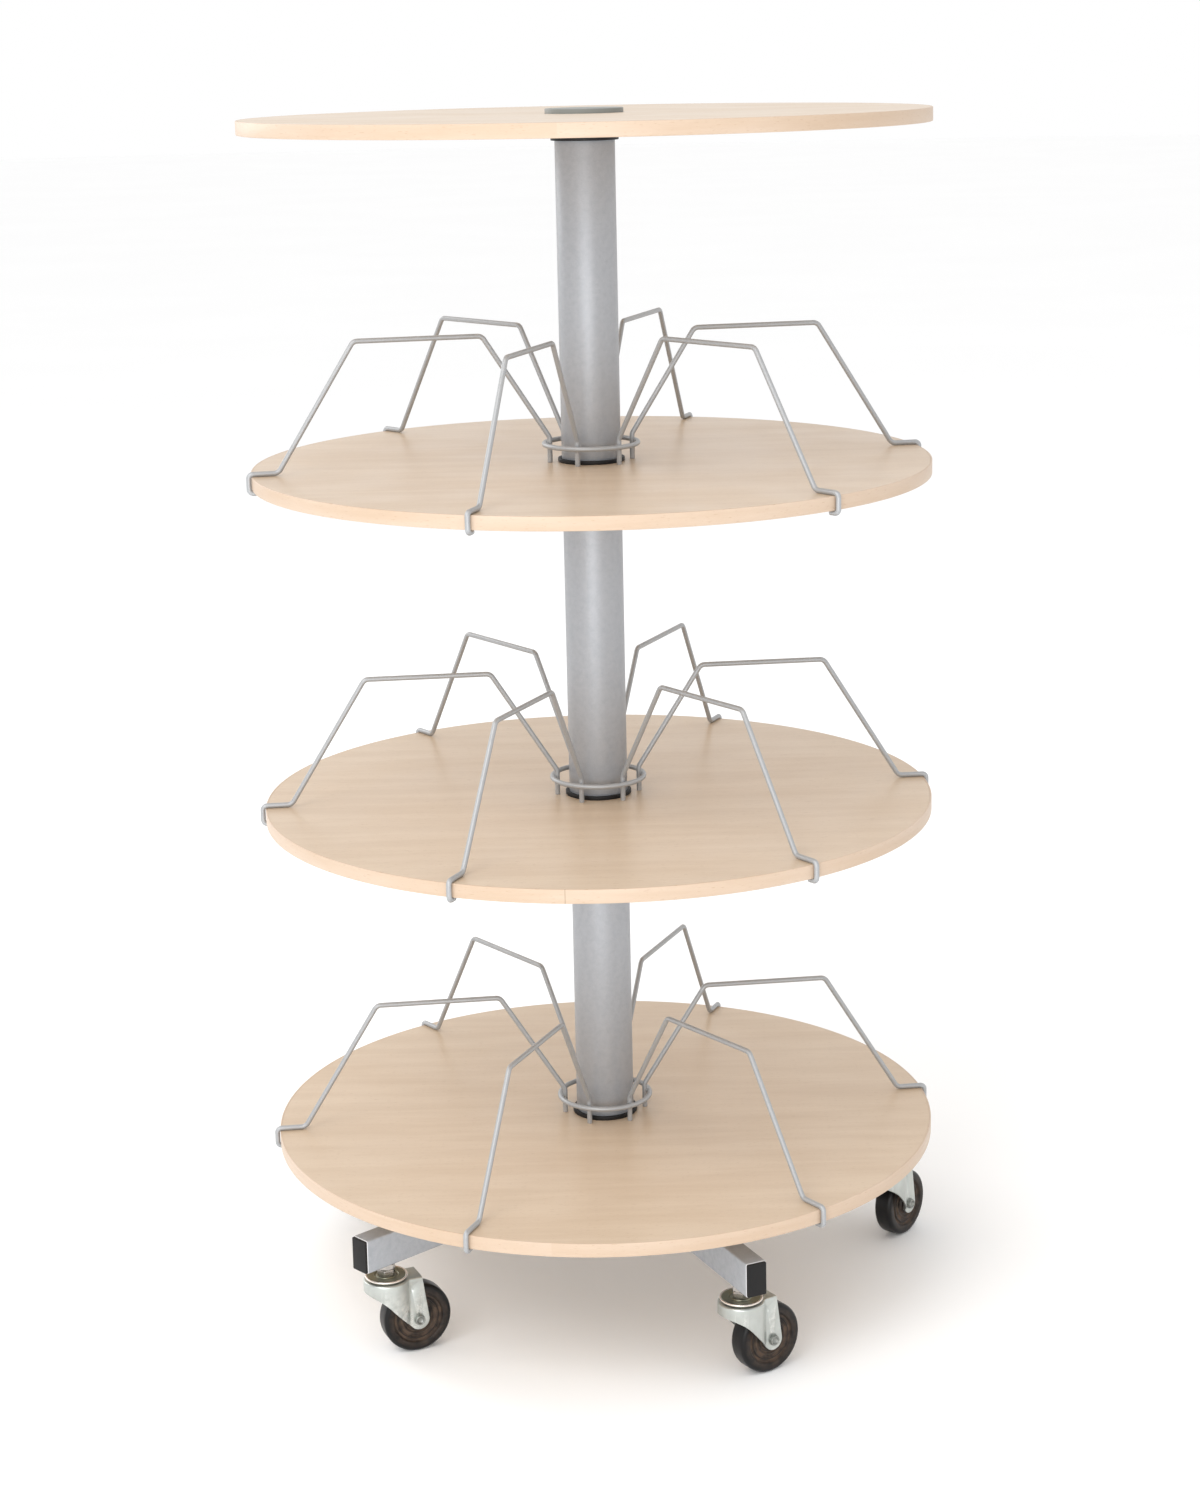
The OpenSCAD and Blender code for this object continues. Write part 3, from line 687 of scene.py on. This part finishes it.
def board_rim(board):
    """The edge band, its two corners rounded."""
    top = FACE_Z[board]
    under = top - BOARD_T
    round_r = SHELF_R - BAND_ROUND
    outline = [(SHELF_R - BAND_T, under)]
    outline += arc((round_r, under + BAND_ROUND), BAND_ROUND, -90, 0, 5)
    outline += arc((round_r, top - BAND_ROUND), BAND_ROUND, 0, 90, 5)
    outline += [(SHELF_R - BAND_T, top)]
    rim = turned(board + "_rim", outline, STEPS_BOARD)
    smooth(rim)
    dress(rim, body_of_board(board), "edge_banding", banding(board), board + "_edge_band")


# Column


def column_pieces(tier, board_above):
    """One length of the column's tube, and the black ring between it and the board above."""
    foot = FACE_Z[tier] + CUP_FLOOR
    top = high(tier + "_column_tube").z
    bore = COLUMN_R - COLUMN_WALL
    tube = turned(
        tier + "_tube", [(bore, foot), (COLUMN_R, foot), (COLUMN_R, top), (bore, top)], STEPS_TUBE)
    soften(tube, 0.4 * MM)
    smooth(tube)
    dress(tube, "base_and_column", "silver_paint", SILVER_PAINT, tier + "_column_tube")
    under_ring(board_above + "_bearing_ring", bore)


def under_ring(node, tube_bore):
    """The fixed black ring under a board: a plug in the tube below and a collar round it."""
    foot = low(node).z
    top = high(node).z
    seat = top - COLLAR_SEAT
    lip = top + RING_LIP - RING_DROP
    inner = MAST_R + LIE
    plug = tube_bore - LIE
    round_tube = COLUMN_R + LIE
    ring = turned(
        node + "_moulding",
        [(inner, foot), (plug, foot), (plug, seat), (round_tube, seat), (round_tube, lip),
         (RING_R, lip), (RING_R, top), (inner, top)],
        STEPS_TUBE)
    soften(ring, 0.5 * MM, 3)
    smooth(ring)
    dress(ring, "base_and_column", "black_plastic", BLACK_PLASTIC, node)


def board_bush(board):
    """The black bush in a board: a sleeve on the mast, and on a shelf a cup for the tube above."""
    node = board + "_bush"
    foot = low(node).z
    top = high(node).z
    bore = MAST_R + RUN_FIT
    face = top - (CUP_FLOOR if board == "top" else CUP_H)
    outline = [(bore, foot), (SLEEVE_R, foot), (SLEEVE_R, face), (RING_R, face), (RING_R, top)]
    if board == "top":
        outline += [(bore, top)]
    else:
        cup_in = COLUMN_R + RUN_FIT
        floor = face + CUP_FLOOR
        outline += [(cup_in, top), (cup_in, floor), (bore, floor)]
    bush = turned(node + "_moulding", outline, STEPS_TUBE)
    soften(bush, 0.7 * MM, 3)
    smooth(bush)
    dress(bush, body_of_board(board), "black_plastic", BLACK_PLASTIC, node)


def column_cap():
    """The grey cap over the column's end: a lid with a skirt, and a collar on the washer."""
    under = low("top_cap").z
    lid = high("top_cap").z
    wall = 1.8 * MM
    collar = 31.1 * MM
    outline = [
        (0, lid - wall), (collar, lid - wall), (collar, under), (collar + wall, under),
        (collar + wall, lid - wall), (CAP_R - wall, lid - wall), (CAP_R - wall, under),
        (CAP_R, under), (CAP_R, lid), (0, lid)]
    cap = turned("column_cap", outline, STEPS_TUBE)
    soften(cap, 0.8 * MM, 4)
    smooth(cap)
    dress(cap, "base_and_column", "grey_plastic", GREY_PLASTIC, "top_cap")


# Dividers


def bent_wire(name, path, bends):
    """A wire of round section along points in the XZ plane, with a bend at each inner point."""
    points = [Vector((x, 0, z)) for x, z in path]
    deselect()
    bpy.ops.mesh.primitive_circle_add(
        vertices=WIRE_SIDES, radius=WIRE_R, fill_type="NOTHING", location=points[0])
    wire = settle(bpy.context.object)
    wire.name = name
    bpy.ops.object.mode_set(mode="EDIT")
    bpy.ops.mesh.select_all(action="SELECT")
    at = points[0]
    for before, corner, after, bend in zip(points, points[1:], points[2:], bends):
        into = (corner - before).normalized()
        out = (after - corner).normalized()
        angle = into.angle(out)
        axis = into.cross(out).normalized()
        back = bend * math.tan(angle / 2)
        start = corner - into * back
        bpy.ops.mesh.extrude_region_move(TRANSFORM_OT_translate={"value": start - at})
        bpy.ops.mesh.spin(
            steps=max(3, round(math.degrees(angle) / 8)), angle=-angle,
            center=start + axis.cross(into) * bend, axis=axis)
        at = corner + out * back
    bpy.ops.mesh.extrude_region_move(TRANSFORM_OT_translate={"value": points[-1] - at})
    bpy.ops.mesh.select_mode(type="EDGE")
    bpy.ops.mesh.select_all(action="DESELECT")
    bpy.ops.mesh.select_non_manifold()
    bpy.ops.mesh.edge_face_add()
    bpy.ops.mesh.select_mode(type="VERT")
    tidy_mesh()
    soften(wire, 0.4 * MM, 2, 60)
    return wire


def divider_path(tier):
    face = FACE_Z[tier]
    hook = SHELF_R + HOOK_CLEAR + WIRE_R
    crest = high(tier + "_divider_wires").z - WIRE_R
    lying = face + WIRE_R + LIE
    under = face - BOARD_T - LIE - WIRE_R
    return [
        (FOOT_R, face), (FOOT_R, face + FOOT_H), (INNER_BEND_R, crest),
        (SHELF_R - OUTER_BEND_IN, crest), (SHELF_R - FOOT_BEND_IN, lying), (hook, lying),
        (hook, under), (hook - HOOK_TIP, under)]


DIVIDER_RING_R = high("lower_divider_ring").x - WIRE_R
FOOT_R = DIVIDER_RING_R - 2 * WIRE_R + WELD_DEPTH


def divider_wires(tier):
    """Six wires of one bending, hooked over the shelf's rim."""
    bends = [BEND_R] * 4 + [HOOK_BEND_R] * 2
    wire = bent_wire(tier + "_wire", divider_path(tier), bends)
    turns = [DIVIDER_TURN[tier] + 360 * i / DIVIDER_COUNT for i in range(DIVIDER_COUNT)]
    wires = [copy_at(wire, tier + "_wire_copy", from_front(turn)) for turn in turns]
    bpy.data.objects.remove(wire)
    wires = joined(wires, tier + "_dividers")
    smooth(wires, 50)
    dress(wires, tier + "_tier", "silver_wire", SILVER_WIRE, tier + "_divider_wires")


def divider_ring(tier):
    """The ring that joins the wires, with a weld bead at each one."""
    height = (low(tier + "_divider_ring").z + high(tier + "_divider_ring").z) / 2
    deselect()
    bpy.ops.mesh.primitive_torus_add(
        major_segments=STEPS_TUBE, minor_segments=WIRE_SIDES, major_radius=DIVIDER_RING_R,
        minor_radius=WIRE_R, location=(0, 0, height))
    ring = settle(bpy.context.object)
    beads = []
    for i in range(DIVIDER_COUNT):
        place = from_front(DIVIDER_TURN[tier] + 360 * i / DIVIDER_COUNT)
        touch = Matrix.Translation((DIVIDER_RING_R - WIRE_R, 0, height))
        beads.append(weld_bead(place @ touch))
    ring = joined([ring] + beads, tier + "_joining_ring")
    smooth(ring, 60)
    dress(ring, tier + "_tier", "silver_wire", SILVER_WIRE, tier + "_divider_ring")


def weld_bead(place):
    """A small lump of weld, flattened between two wires."""
    deselect()
    bpy.ops.mesh.primitive_uv_sphere_add(segments=16, ring_count=10, radius=2.1 * MM)
    bead = bpy.context.object
    bpy.ops.object.mode_set(mode="EDIT")
    bpy.ops.transform.resize(value=(0.75, 1.45, 1.1))
    bpy.ops.object.mode_set(mode="OBJECT")
    return stand(bead, place)


# Base


def rounded_box_outline(width, height, middle, round_r, x, steps=6):
    """A rounded rectangle across an arm, as 3-D points at one distance from the axis."""
    half_w = width / 2 - round_r
    half_h = height / 2 - round_r
    outline = []
    for side_y, side_z, start in ((1, 1, 0), (-1, 1, 90), (-1, -1, 180), (1, -1, 270)):
        corner = (side_y * half_w, middle + side_z * half_h)
        outline += arc(corner, round_r, start, start + 90, steps)
    return [(x, y, z) for y, z in outline]


def base_hub():
    """The hub: a short column tube with a floor, which the arms are welded to."""
    foot = low("base_hub").z
    top = high("base_hub").z
    bore = COLUMN_R - HUB_WALL
    outline = [(0, foot), (COLUMN_R, foot), (COLUMN_R, top), (bore, top), (bore, ARM_Z), (0, ARM_Z)]
    hub = turned("hub", outline, STEPS_TUBE)
    soften(hub, 0.6 * MM, 3)
    smooth(hub)
    dress(hub, "base_and_column", "silver_paint", SILVER_PAINT, "base_hub")


def arm(corner):
    """A rectangular tube from the hub outwards, with a hole for the caster's stem."""
    middle = (ARM_Z + ARM_TOP) / 2
    height = ARM_TOP - ARM_Z
    start = 20 * MM
    along = (ARM_END - start, 0, 0)
    tube = prism("arm_tube_" + corner, rounded_box_outline(ARM_W, height, middle, ARM_ROUND, start), along)
    bore = prism(
        "arm_bore",
        rounded_box_outline(
            ARM_W - 2 * ARM_WALL, height - 2 * ARM_WALL, middle, ARM_ROUND - ARM_WALL,
            start - MM, 2),
        (along[0] + 2 * MM, 0, 0))
    bevel_edges(tube, lambda end: end.x > ARM_END - LIE, ARM_EDGE, 3)
    carve(tube, bore)
    drill(tube, COLUMN_R + LIE, Matrix.Translation((0, 0, middle)), 2 * height)
    drill(tube, STEM_R + LIE, Matrix.Translation((stem_reach(corner), 0, ARM_Z)), 4 * ARM_WALL)
    # Painted bright round the arm's end: partly the bare cut edge, partly a painted highlight.
    mark_wear_and_highlight(tube, lambda point: point.x > ARM_END - ARM_EDGE + LIE)
    smooth(tube, 30)
    stand(tube, arm_frame(corner))
    dress(tube, "base_and_column", "silver_paint", SILVER_PAINT, "arm_" + corner)


def arm_end_caps():
    """Five black caps: a flange a little smaller than the arm, and a plug inside it."""
    middle = (ARM_Z + ARM_TOP) / 2
    height = ARM_TOP - ARM_Z
    inset = 2 * (ARM_WALL + END_CAP_CLEAR)
    flange = prism(
        "flange",
        rounded_box_outline(
            ARM_W - 2 * END_CAP_IN, height - 2 * END_CAP_IN, middle, ARM_ROUND - 0.4 * MM, ARM_END),
        (END_CAP_T, 0, 0))
    bevel_edges(flange, lambda end: end.x > ARM_END + END_CAP_T - LIE, 0.9 * MM, 4)
    plug = prism(
        "plug",
        rounded_box_outline(
            ARM_W - inset, height - inset, middle, 0.5 * MM, ARM_END - END_CAP_PLUG, 2),
        (END_CAP_PLUG + END_CAP_T / 2, 0, 0))
    carve(flange, plug, "UNION")
    caps = [copy_at(flange, "end_cap", arm_frame(corner)) for corner in CORNERS]
    bpy.data.objects.remove(flange)
    caps = joined(caps, "end_caps")
    smooth(caps, 30)
    dress(caps, "base_and_column", "black_plastic", BLACK_PLASTIC, "arm_end_caps")


# Casters


def swivel_discs():
    """Five turned discs: a flat top with a groove round the collar, and a rolled rim with a painted
    highlight.
    """
    foot = low("caster_swivel_discs").z
    top = high("caster_swivel_discs").z
    race = 19 * MM
    race_top = top - 2.5 * MM
    rolled = 1.25 * MM
    groove = 13 * MM
    groove_floor = top - 1.2 * MM
    bore = STEM_R + LIE
    outline = [(bore, foot), (race, foot), (race, race_top), (DISC_R - rolled, race_top)]
    outline += arc((DISC_R - rolled, race_top + rolled), rolled, -90, 110, 12)
    outline += [
        (DISC_R - 3 * MM, top - 0.9 * MM), (groove + 1.4 * MM, top - 0.5 * MM),
        (groove + 0.8 * MM, groove_floor), (groove - 0.8 * MM, groove_floor),
        (groove - 1.4 * MM, top), (bore, top)]
    disc = turned("swivel_disc", outline, STEPS_TUBE)
    soften(disc, 0.2 * MM)
    # The rolled rim is painted bright: a painted highlight.
    mark_wear_and_highlight(disc, lambda point: point.xy.length > DISC_R - 2.2 * MM)
    discs = [copy_at(disc, "disc_copy", caster_frame(corner)) for corner in CORNERS]
    bpy.data.objects.remove(disc)
    discs = joined(discs, "swivel_discs")
    smooth(discs, 30)
    dress(discs, "base_and_column", "yellow_zinc", YELLOW_ZINC, "caster_swivel_discs")


def fork_plan(head_r, leg_y, z, rear):
    """A fork seen from above: a round head, and straight legs towards the rear."""
    opening = math.degrees(math.asin(leg_y / head_r))
    outline = [(rear, -leg_y)]
    outline += arc((0, 0), head_r, 360 - opening, opening, 72)
    outline += [(rear, leg_y)]
    return [(x, y, z) for x, y in outline]


def fork_blank(name, head_r, leg_y, foot, top, rear):
    """A solid of the fork's plan, its creases and its upper edge rounded."""
    blank = prism(name, fork_plan(head_r, leg_y, foot, rear), (0, 0, top - foot))
    crease = math.sqrt(head_r ** 2 - leg_y ** 2)

    def on_crease(end):
        return abs(end.x - crease) < LIE and abs(abs(end.y) - leg_y) < LIE

    bevel_edges(blank, on_crease, CREASE_ROUND, 5)
    bevel_edges(blank, lambda end: end.z > top - LIE, FORK_ROUND, 5)
    return blank


def fork_side(rear_cut):
    """A fork seen from the side: skirt, falling lower edge, round end and slanted rear."""
    knee = AXLE_Z + SKIRT_SIDE
    span = math.hypot(TRAIL, SKIRT_SIDE)
    fall = math.degrees(math.atan2(SKIRT_SIDE, TRAIL) + math.asin(LEG_HALF / span))
    slant = math.degrees(math.atan2(LEG_SLANT, FORK_TOP - AXLE_Z))
    front = -HEAD_R - rear_cut
    front_z = FORK_TOP - SKIRT_H
    outline = [(front, FORK_TOP + rear_cut)]
    outline += curve((front, front_z), (-HEAD_R / 2, front_z - SKIRT_FALL), (0, knee), 10)
    outline += arc((TRAIL, AXLE_Z), LEG_HALF, 270 - fall, 360 + slant, 24)
    outline += [(TRAIL + LEG_HALF - LEG_SLANT, FORK_TOP + rear_cut)]
    return outline


def fork_shape():
    """One fork pressed from sheet: shell, side outline, holes, and a dimple in each crease."""
    under = FORK_TOP - FORK_T
    rear = TRAIL + 2 * LEG_HALF
    inner_y = LEG_OUT - FORK_T
    shape = fork_blank("fork", HEAD_R, LEG_OUT, 20 * MM, FORK_TOP, rear)
    hollow = fork_blank("fork_hollow", HEAD_R - FORK_T, inner_y, 10 * MM, under, rear + 5 * MM)
    carve(shape, hollow)
    side = [(x, -40 * MM, z) for x, z in fork_side(5 * MM)]
    carve(shape, prism("fork_side", side, (0, 80 * MM, 0)), "INTERSECT")
    drill(shape, STEM_R + RUN_FIT, Matrix.Translation((0, 0, under)), 8 * MM)
    across = Matrix.Translation((TRAIL, 0, AXLE_Z)) @ Matrix.Rotation(math.pi / 2, 4, "X")
    drill(shape, AXLE_R + LIE, across, 50 * MM)
    crease = math.sqrt(HEAD_R ** 2 - LEG_OUT ** 2)
    for side in (-1, 1):
        dimple(shape, (crease + 3 * MM, side * (LEG_OUT + MM), FORK_TOP - 13 * MM))
    return shape


def dimple(shape, place):
    """A shallow oval pressed into a fork's leg beside its crease."""
    deselect()
    bpy.ops.mesh.primitive_uv_sphere_add(segments=32, ring_count=16, radius=MM)
    punch = bpy.context.object
    bpy.ops.object.mode_set(mode="EDIT")
    bpy.ops.transform.resize(value=(2.4, 1.9, 4.6))
    bpy.ops.object.mode_set(mode="OBJECT")
    carve(shape, stand(punch, Matrix.Translation(place)))


def forks():
    shape = fork_shape()
    soften(shape, 0.35 * MM, 2, 45)
    for corner in CORNERS:
        fork = copy_at(shape, "pressed_fork_" + corner, caster_frame(corner))
        smooth(fork, 40)
        dress(fork, "caster_" + corner, "zinc_steel", ZINC, "fork_" + corner)
    bpy.data.objects.remove(shape)


def hexagon(name, foot, top, bore):
    """A hexagon part with both ends chamfered all round, and a hole where it has one."""
    corner_r = HEX_W / 2 / math.cos(math.radians(30))
    flat = [(x, y, foot) for x, y in arc((0, 0), corner_r, 0, 300, 5)]
    part = prism(name, flat, (0, 0, top - foot))
    chamfer = 1.3 * MM
    seat_r = HEX_W / 2 - 0.3 * MM
    outline = [
        (0, foot), (seat_r, foot), (corner_r + 0.2 * MM, foot + chamfer),
        (corner_r + 0.2 * MM, top - chamfer), (seat_r, top), (0, top)]
    carve(part, turned("chamfer", outline, STEPS_SMALL), "INTERSECT")
    if bore:
        drill(part, bore, Matrix.Translation((0, 0, foot)), 4 * (top - foot))
    return part


def caster_stems():
    """Five stems: a rivet head under the fork, a shank, and the hexagon collar on the disc."""
    foot = low("caster_stems").z
    top = high("caster_stems").z
    rivet_r = 1.5 * STEM_R
    collar_foot = high("caster_swivel_discs").z
    outline = [(0, foot), (rivet_r - MM, foot), (rivet_r, foot + MM), (rivet_r, foot + 3 * MM)]
    outline += [(STEM_R, foot + 3 * MM), (STEM_R, top - MM), (STEM_R - MM, top), (0, top)]
    shank = turned("shank", outline, STEPS_SMALL)
    carve(shank, hexagon("collar", collar_foot, low("caster_lock_nuts").z, 0), "UNION")
    dress_at_stems(shank, "caster_stems")


def caster_lock_nuts():
    foot = low("caster_lock_nuts").z
    top = high("caster_lock_nuts").z
    dress_at_stems(hexagon("nut", foot, top, STEM_R + LIE), "caster_lock_nuts")


def dress_at_stems(part, node):
    """Copies a plated part to each stem, as one piece for its node."""
    soften(part, 0.2 * MM, 1, 25)
    parts = [copy_at(part, "plated_part", caster_frame(corner)) for corner in CORNERS]
    bpy.data.objects.remove(part)
    parts = joined(parts, "turned_" + node)
    smooth(parts, 20)
    dress(parts, "base_and_column", "zinc_steel", BRIGHT_ZINC, node)


def mirrored(half):
    """A closed outline from its upper half, of (radius, height)."""
    return half + [(radius, -height) for radius, height in reversed(half)]


def axles():
    """A riveted axle: a round head at each end with a rolled rim and a hollow in its middle."""
    head = AXLE_HEAD.z
    rolled = 0.9 * MM
    half = [(0, head - 2.6 * MM)]
    half += curve((1.2 * MM, head - 2.5 * MM), (3.6 * MM, head - 2.2 * MM), (4 * MM, head - rolled), 6)
    half += arc((AXLE_HEAD.x - 1.35 * MM, head - rolled), rolled, 180, 0, 8)[1:]
    half += [
        (AXLE_HEAD.x - 0.2 * MM, head - 1.9 * MM), (AXLE_HEAD.x, head - 2.5 * MM),
        (AXLE_HEAD.x, LEG_OUT), (AXLE_R, LEG_OUT)]
    axle = turned("axle", mirrored(half), STEPS_SMALL)
    soften(axle, 0.2 * MM)
    for corner in CORNERS:
        riveted = copy_at(axle, "riveted_axle_" + corner, axle_frame(corner))
        smooth(riveted, 40)
        dress(riveted, "caster_" + corner, "zinc_steel", DULL_ZINC, "axle_" + corner)
    bpy.data.objects.remove(axle)


def wheels():
    """A solid wheel: crowned tread, round shoulders, and stepped sides round a boss."""
    bore = 7.18 * MM
    boss = 13 * MM
    web = WHEEL_HALF - 3 * MM
    shoulder = 5 * MM
    tread = WHEEL_R - 11 * MM
    half = [(bore, WHEEL.z), (boss - MM, WHEEL.z), (boss, WHEEL.z - MM), (boss + MM, web)]
    for ring in RAISED_RINGS:
        heights = (web, web + RAISED_H, web + RAISED_H, web)
        half += [(radius * MM, height) for radius, height in zip(ring, heights)]
    half += [(tread - MM, web), (tread, WHEEL_HALF - 0.5 * MM), (tread + MM, WHEEL_HALF)]
    half += arc((WHEEL_R - shoulder, WHEEL_HALF - shoulder), shoulder, 90, 8, 9)
    half += [(WHEEL_R, 3 * MM)]
    wheel = turned("wheel", mirrored(half), STEPS_TUBE)
    soften(wheel, 0.35 * MM)
    own = wheel.data.attributes.new("wheel_place", "FLOAT_VECTOR", "POINT")
    for spot, vertex in zip(own.data, wheel.data.vertices):
        spot.vector = vertex.co
    for corner in CORNERS:
        rolling = copy_at(wheel, "rolling_" + corner, axle_frame(corner))
        smooth(rolling, 35)
        dress(rolling, "rolling_wheel_" + corner, "black_rubber", RUBBER, "wheel_" + corner)
    bpy.data.objects.remove(wheel)


def dress_frame_nodes():
    """CAD nodes that stay: their shape is right, and they get a finish."""
    steel = ["mast", "retaining_washer", "retaining_screw"]
    steel += ["wheel_bush_" + corner for corner in CORNERS]
    for name in steel:
        node = frame["nodes"][name]
        node.data.materials.clear()
        node.data.materials.append(PLAIN_STEEL)


# Camera, floor and light


FOCAL_PX = 2809.6
AXIS_Y_PX = 600.8
PHOTO_H_PX = 1502
SENSOR = 36
CAMERA_PLACE = (0, -3.2886, 1.4912)
CAMERA_PITCH = -0.1953
CAMERA_YAW = -0.002
CAMERA_ROLL = 0.0211

# Soft lights: place, target, size in metres and power in watts
LAMPS = [
    ((-2.2, -3.4, 4.4), (0, 0, 0.7), (3.2, 3.2), 115),
    ((-0.4, -4.2, 0.9), (0, 0, 0.2), (3.0, 1.4), 45),
    ((-3.4, 2.8, 2.4), (0, 0, 0.7), (2.4, 2.4), 45),
]


def camera():
    """The photograph's view: its lens, place and slight tilt."""
    deselect()
    bpy.ops.object.camera_add()
    view = bpy.context.object
    pitch = Matrix.Rotation(CAMERA_PITCH, 4, "X")
    turn = Matrix.Rotation(CAMERA_YAW, 4, "Z") @ pitch @ Matrix.Rotation(CAMERA_ROLL, 4, "Y")
    level = Matrix.Rotation(math.pi / 2, 4, "X")
    view.matrix_world = Matrix.Translation(CAMERA_PLACE) @ turn @ level
    view.data.sensor_width = SENSOR
    view.data.lens = FOCAL_PX * SENSOR / PHOTO_H_PX
    view.data.shift_y = (AXIS_Y_PX - PHOTO_H_PX / 2) / PHOTO_H_PX
    bpy.context.scene.camera = view


def floor():
    deselect()
    bpy.ops.mesh.primitive_circle_add(vertices=96, radius=40, fill_type="NGON")
    ground = bpy.context.object
    ground.name = "floor"
    material, graph, shader, place = new_finish("pale_floor", Roughness=0.85)
    shade = graph.group(CLOUDS, {
        "Vector": place, "Scale": 0.8, "First": tone(253, 253, 253), "Second": tone(254, 254, 254)})
    graph.feed(shader, {"Base Color": shade["Color"]})
    ground.data.materials.append(material)


def lamp(place, target, size, power):
    """A soft rectangular light that looks at a target."""
    deselect()
    bpy.ops.object.light_add(type="AREA", location=place)
    light = bpy.context.object
    light.rotation_euler = (Vector(target) - Vector(place)).to_track_quat("-Z", "Y").to_euler()
    light.data.shape = "RECTANGLE"
    light.data.size, light.data.size_y = size
    light.data.energy = power


def studio():
    scene = bpy.context.scene
    scene.view_settings.view_transform = "Standard"
    world = bpy.data.worlds.new("studio")
    scene.world = world
    world.use_nodes = True
    world.node_tree.nodes["Background"].inputs["Color"].default_value = (1, 1, 1, 1)
    world.node_tree.nodes["Background"].inputs["Strength"].default_value = 1.0
    for place, target, size, power in LAMPS:
        lamp(place, target, size, power)


camera()
for board in BOARDS:
    board_panel(board)
    board_rim(board)
    board_bush(board)
for tier, board_above in zip(TIERS, BOARDS[1:]):
    column_pieces(tier, board_above)
    divider_wires(tier)
    divider_ring(tier)
under_ring("lower_bearing_ring", COLUMN_R - HUB_WALL)
column_cap()
base_hub()
for corner in CORNERS:
    arm(corner)
arm_end_caps()
swivel_discs()
caster_stems()
caster_lock_nuts()
forks()
axles()
wheels()
dress_frame_nodes()
floor()
studio()
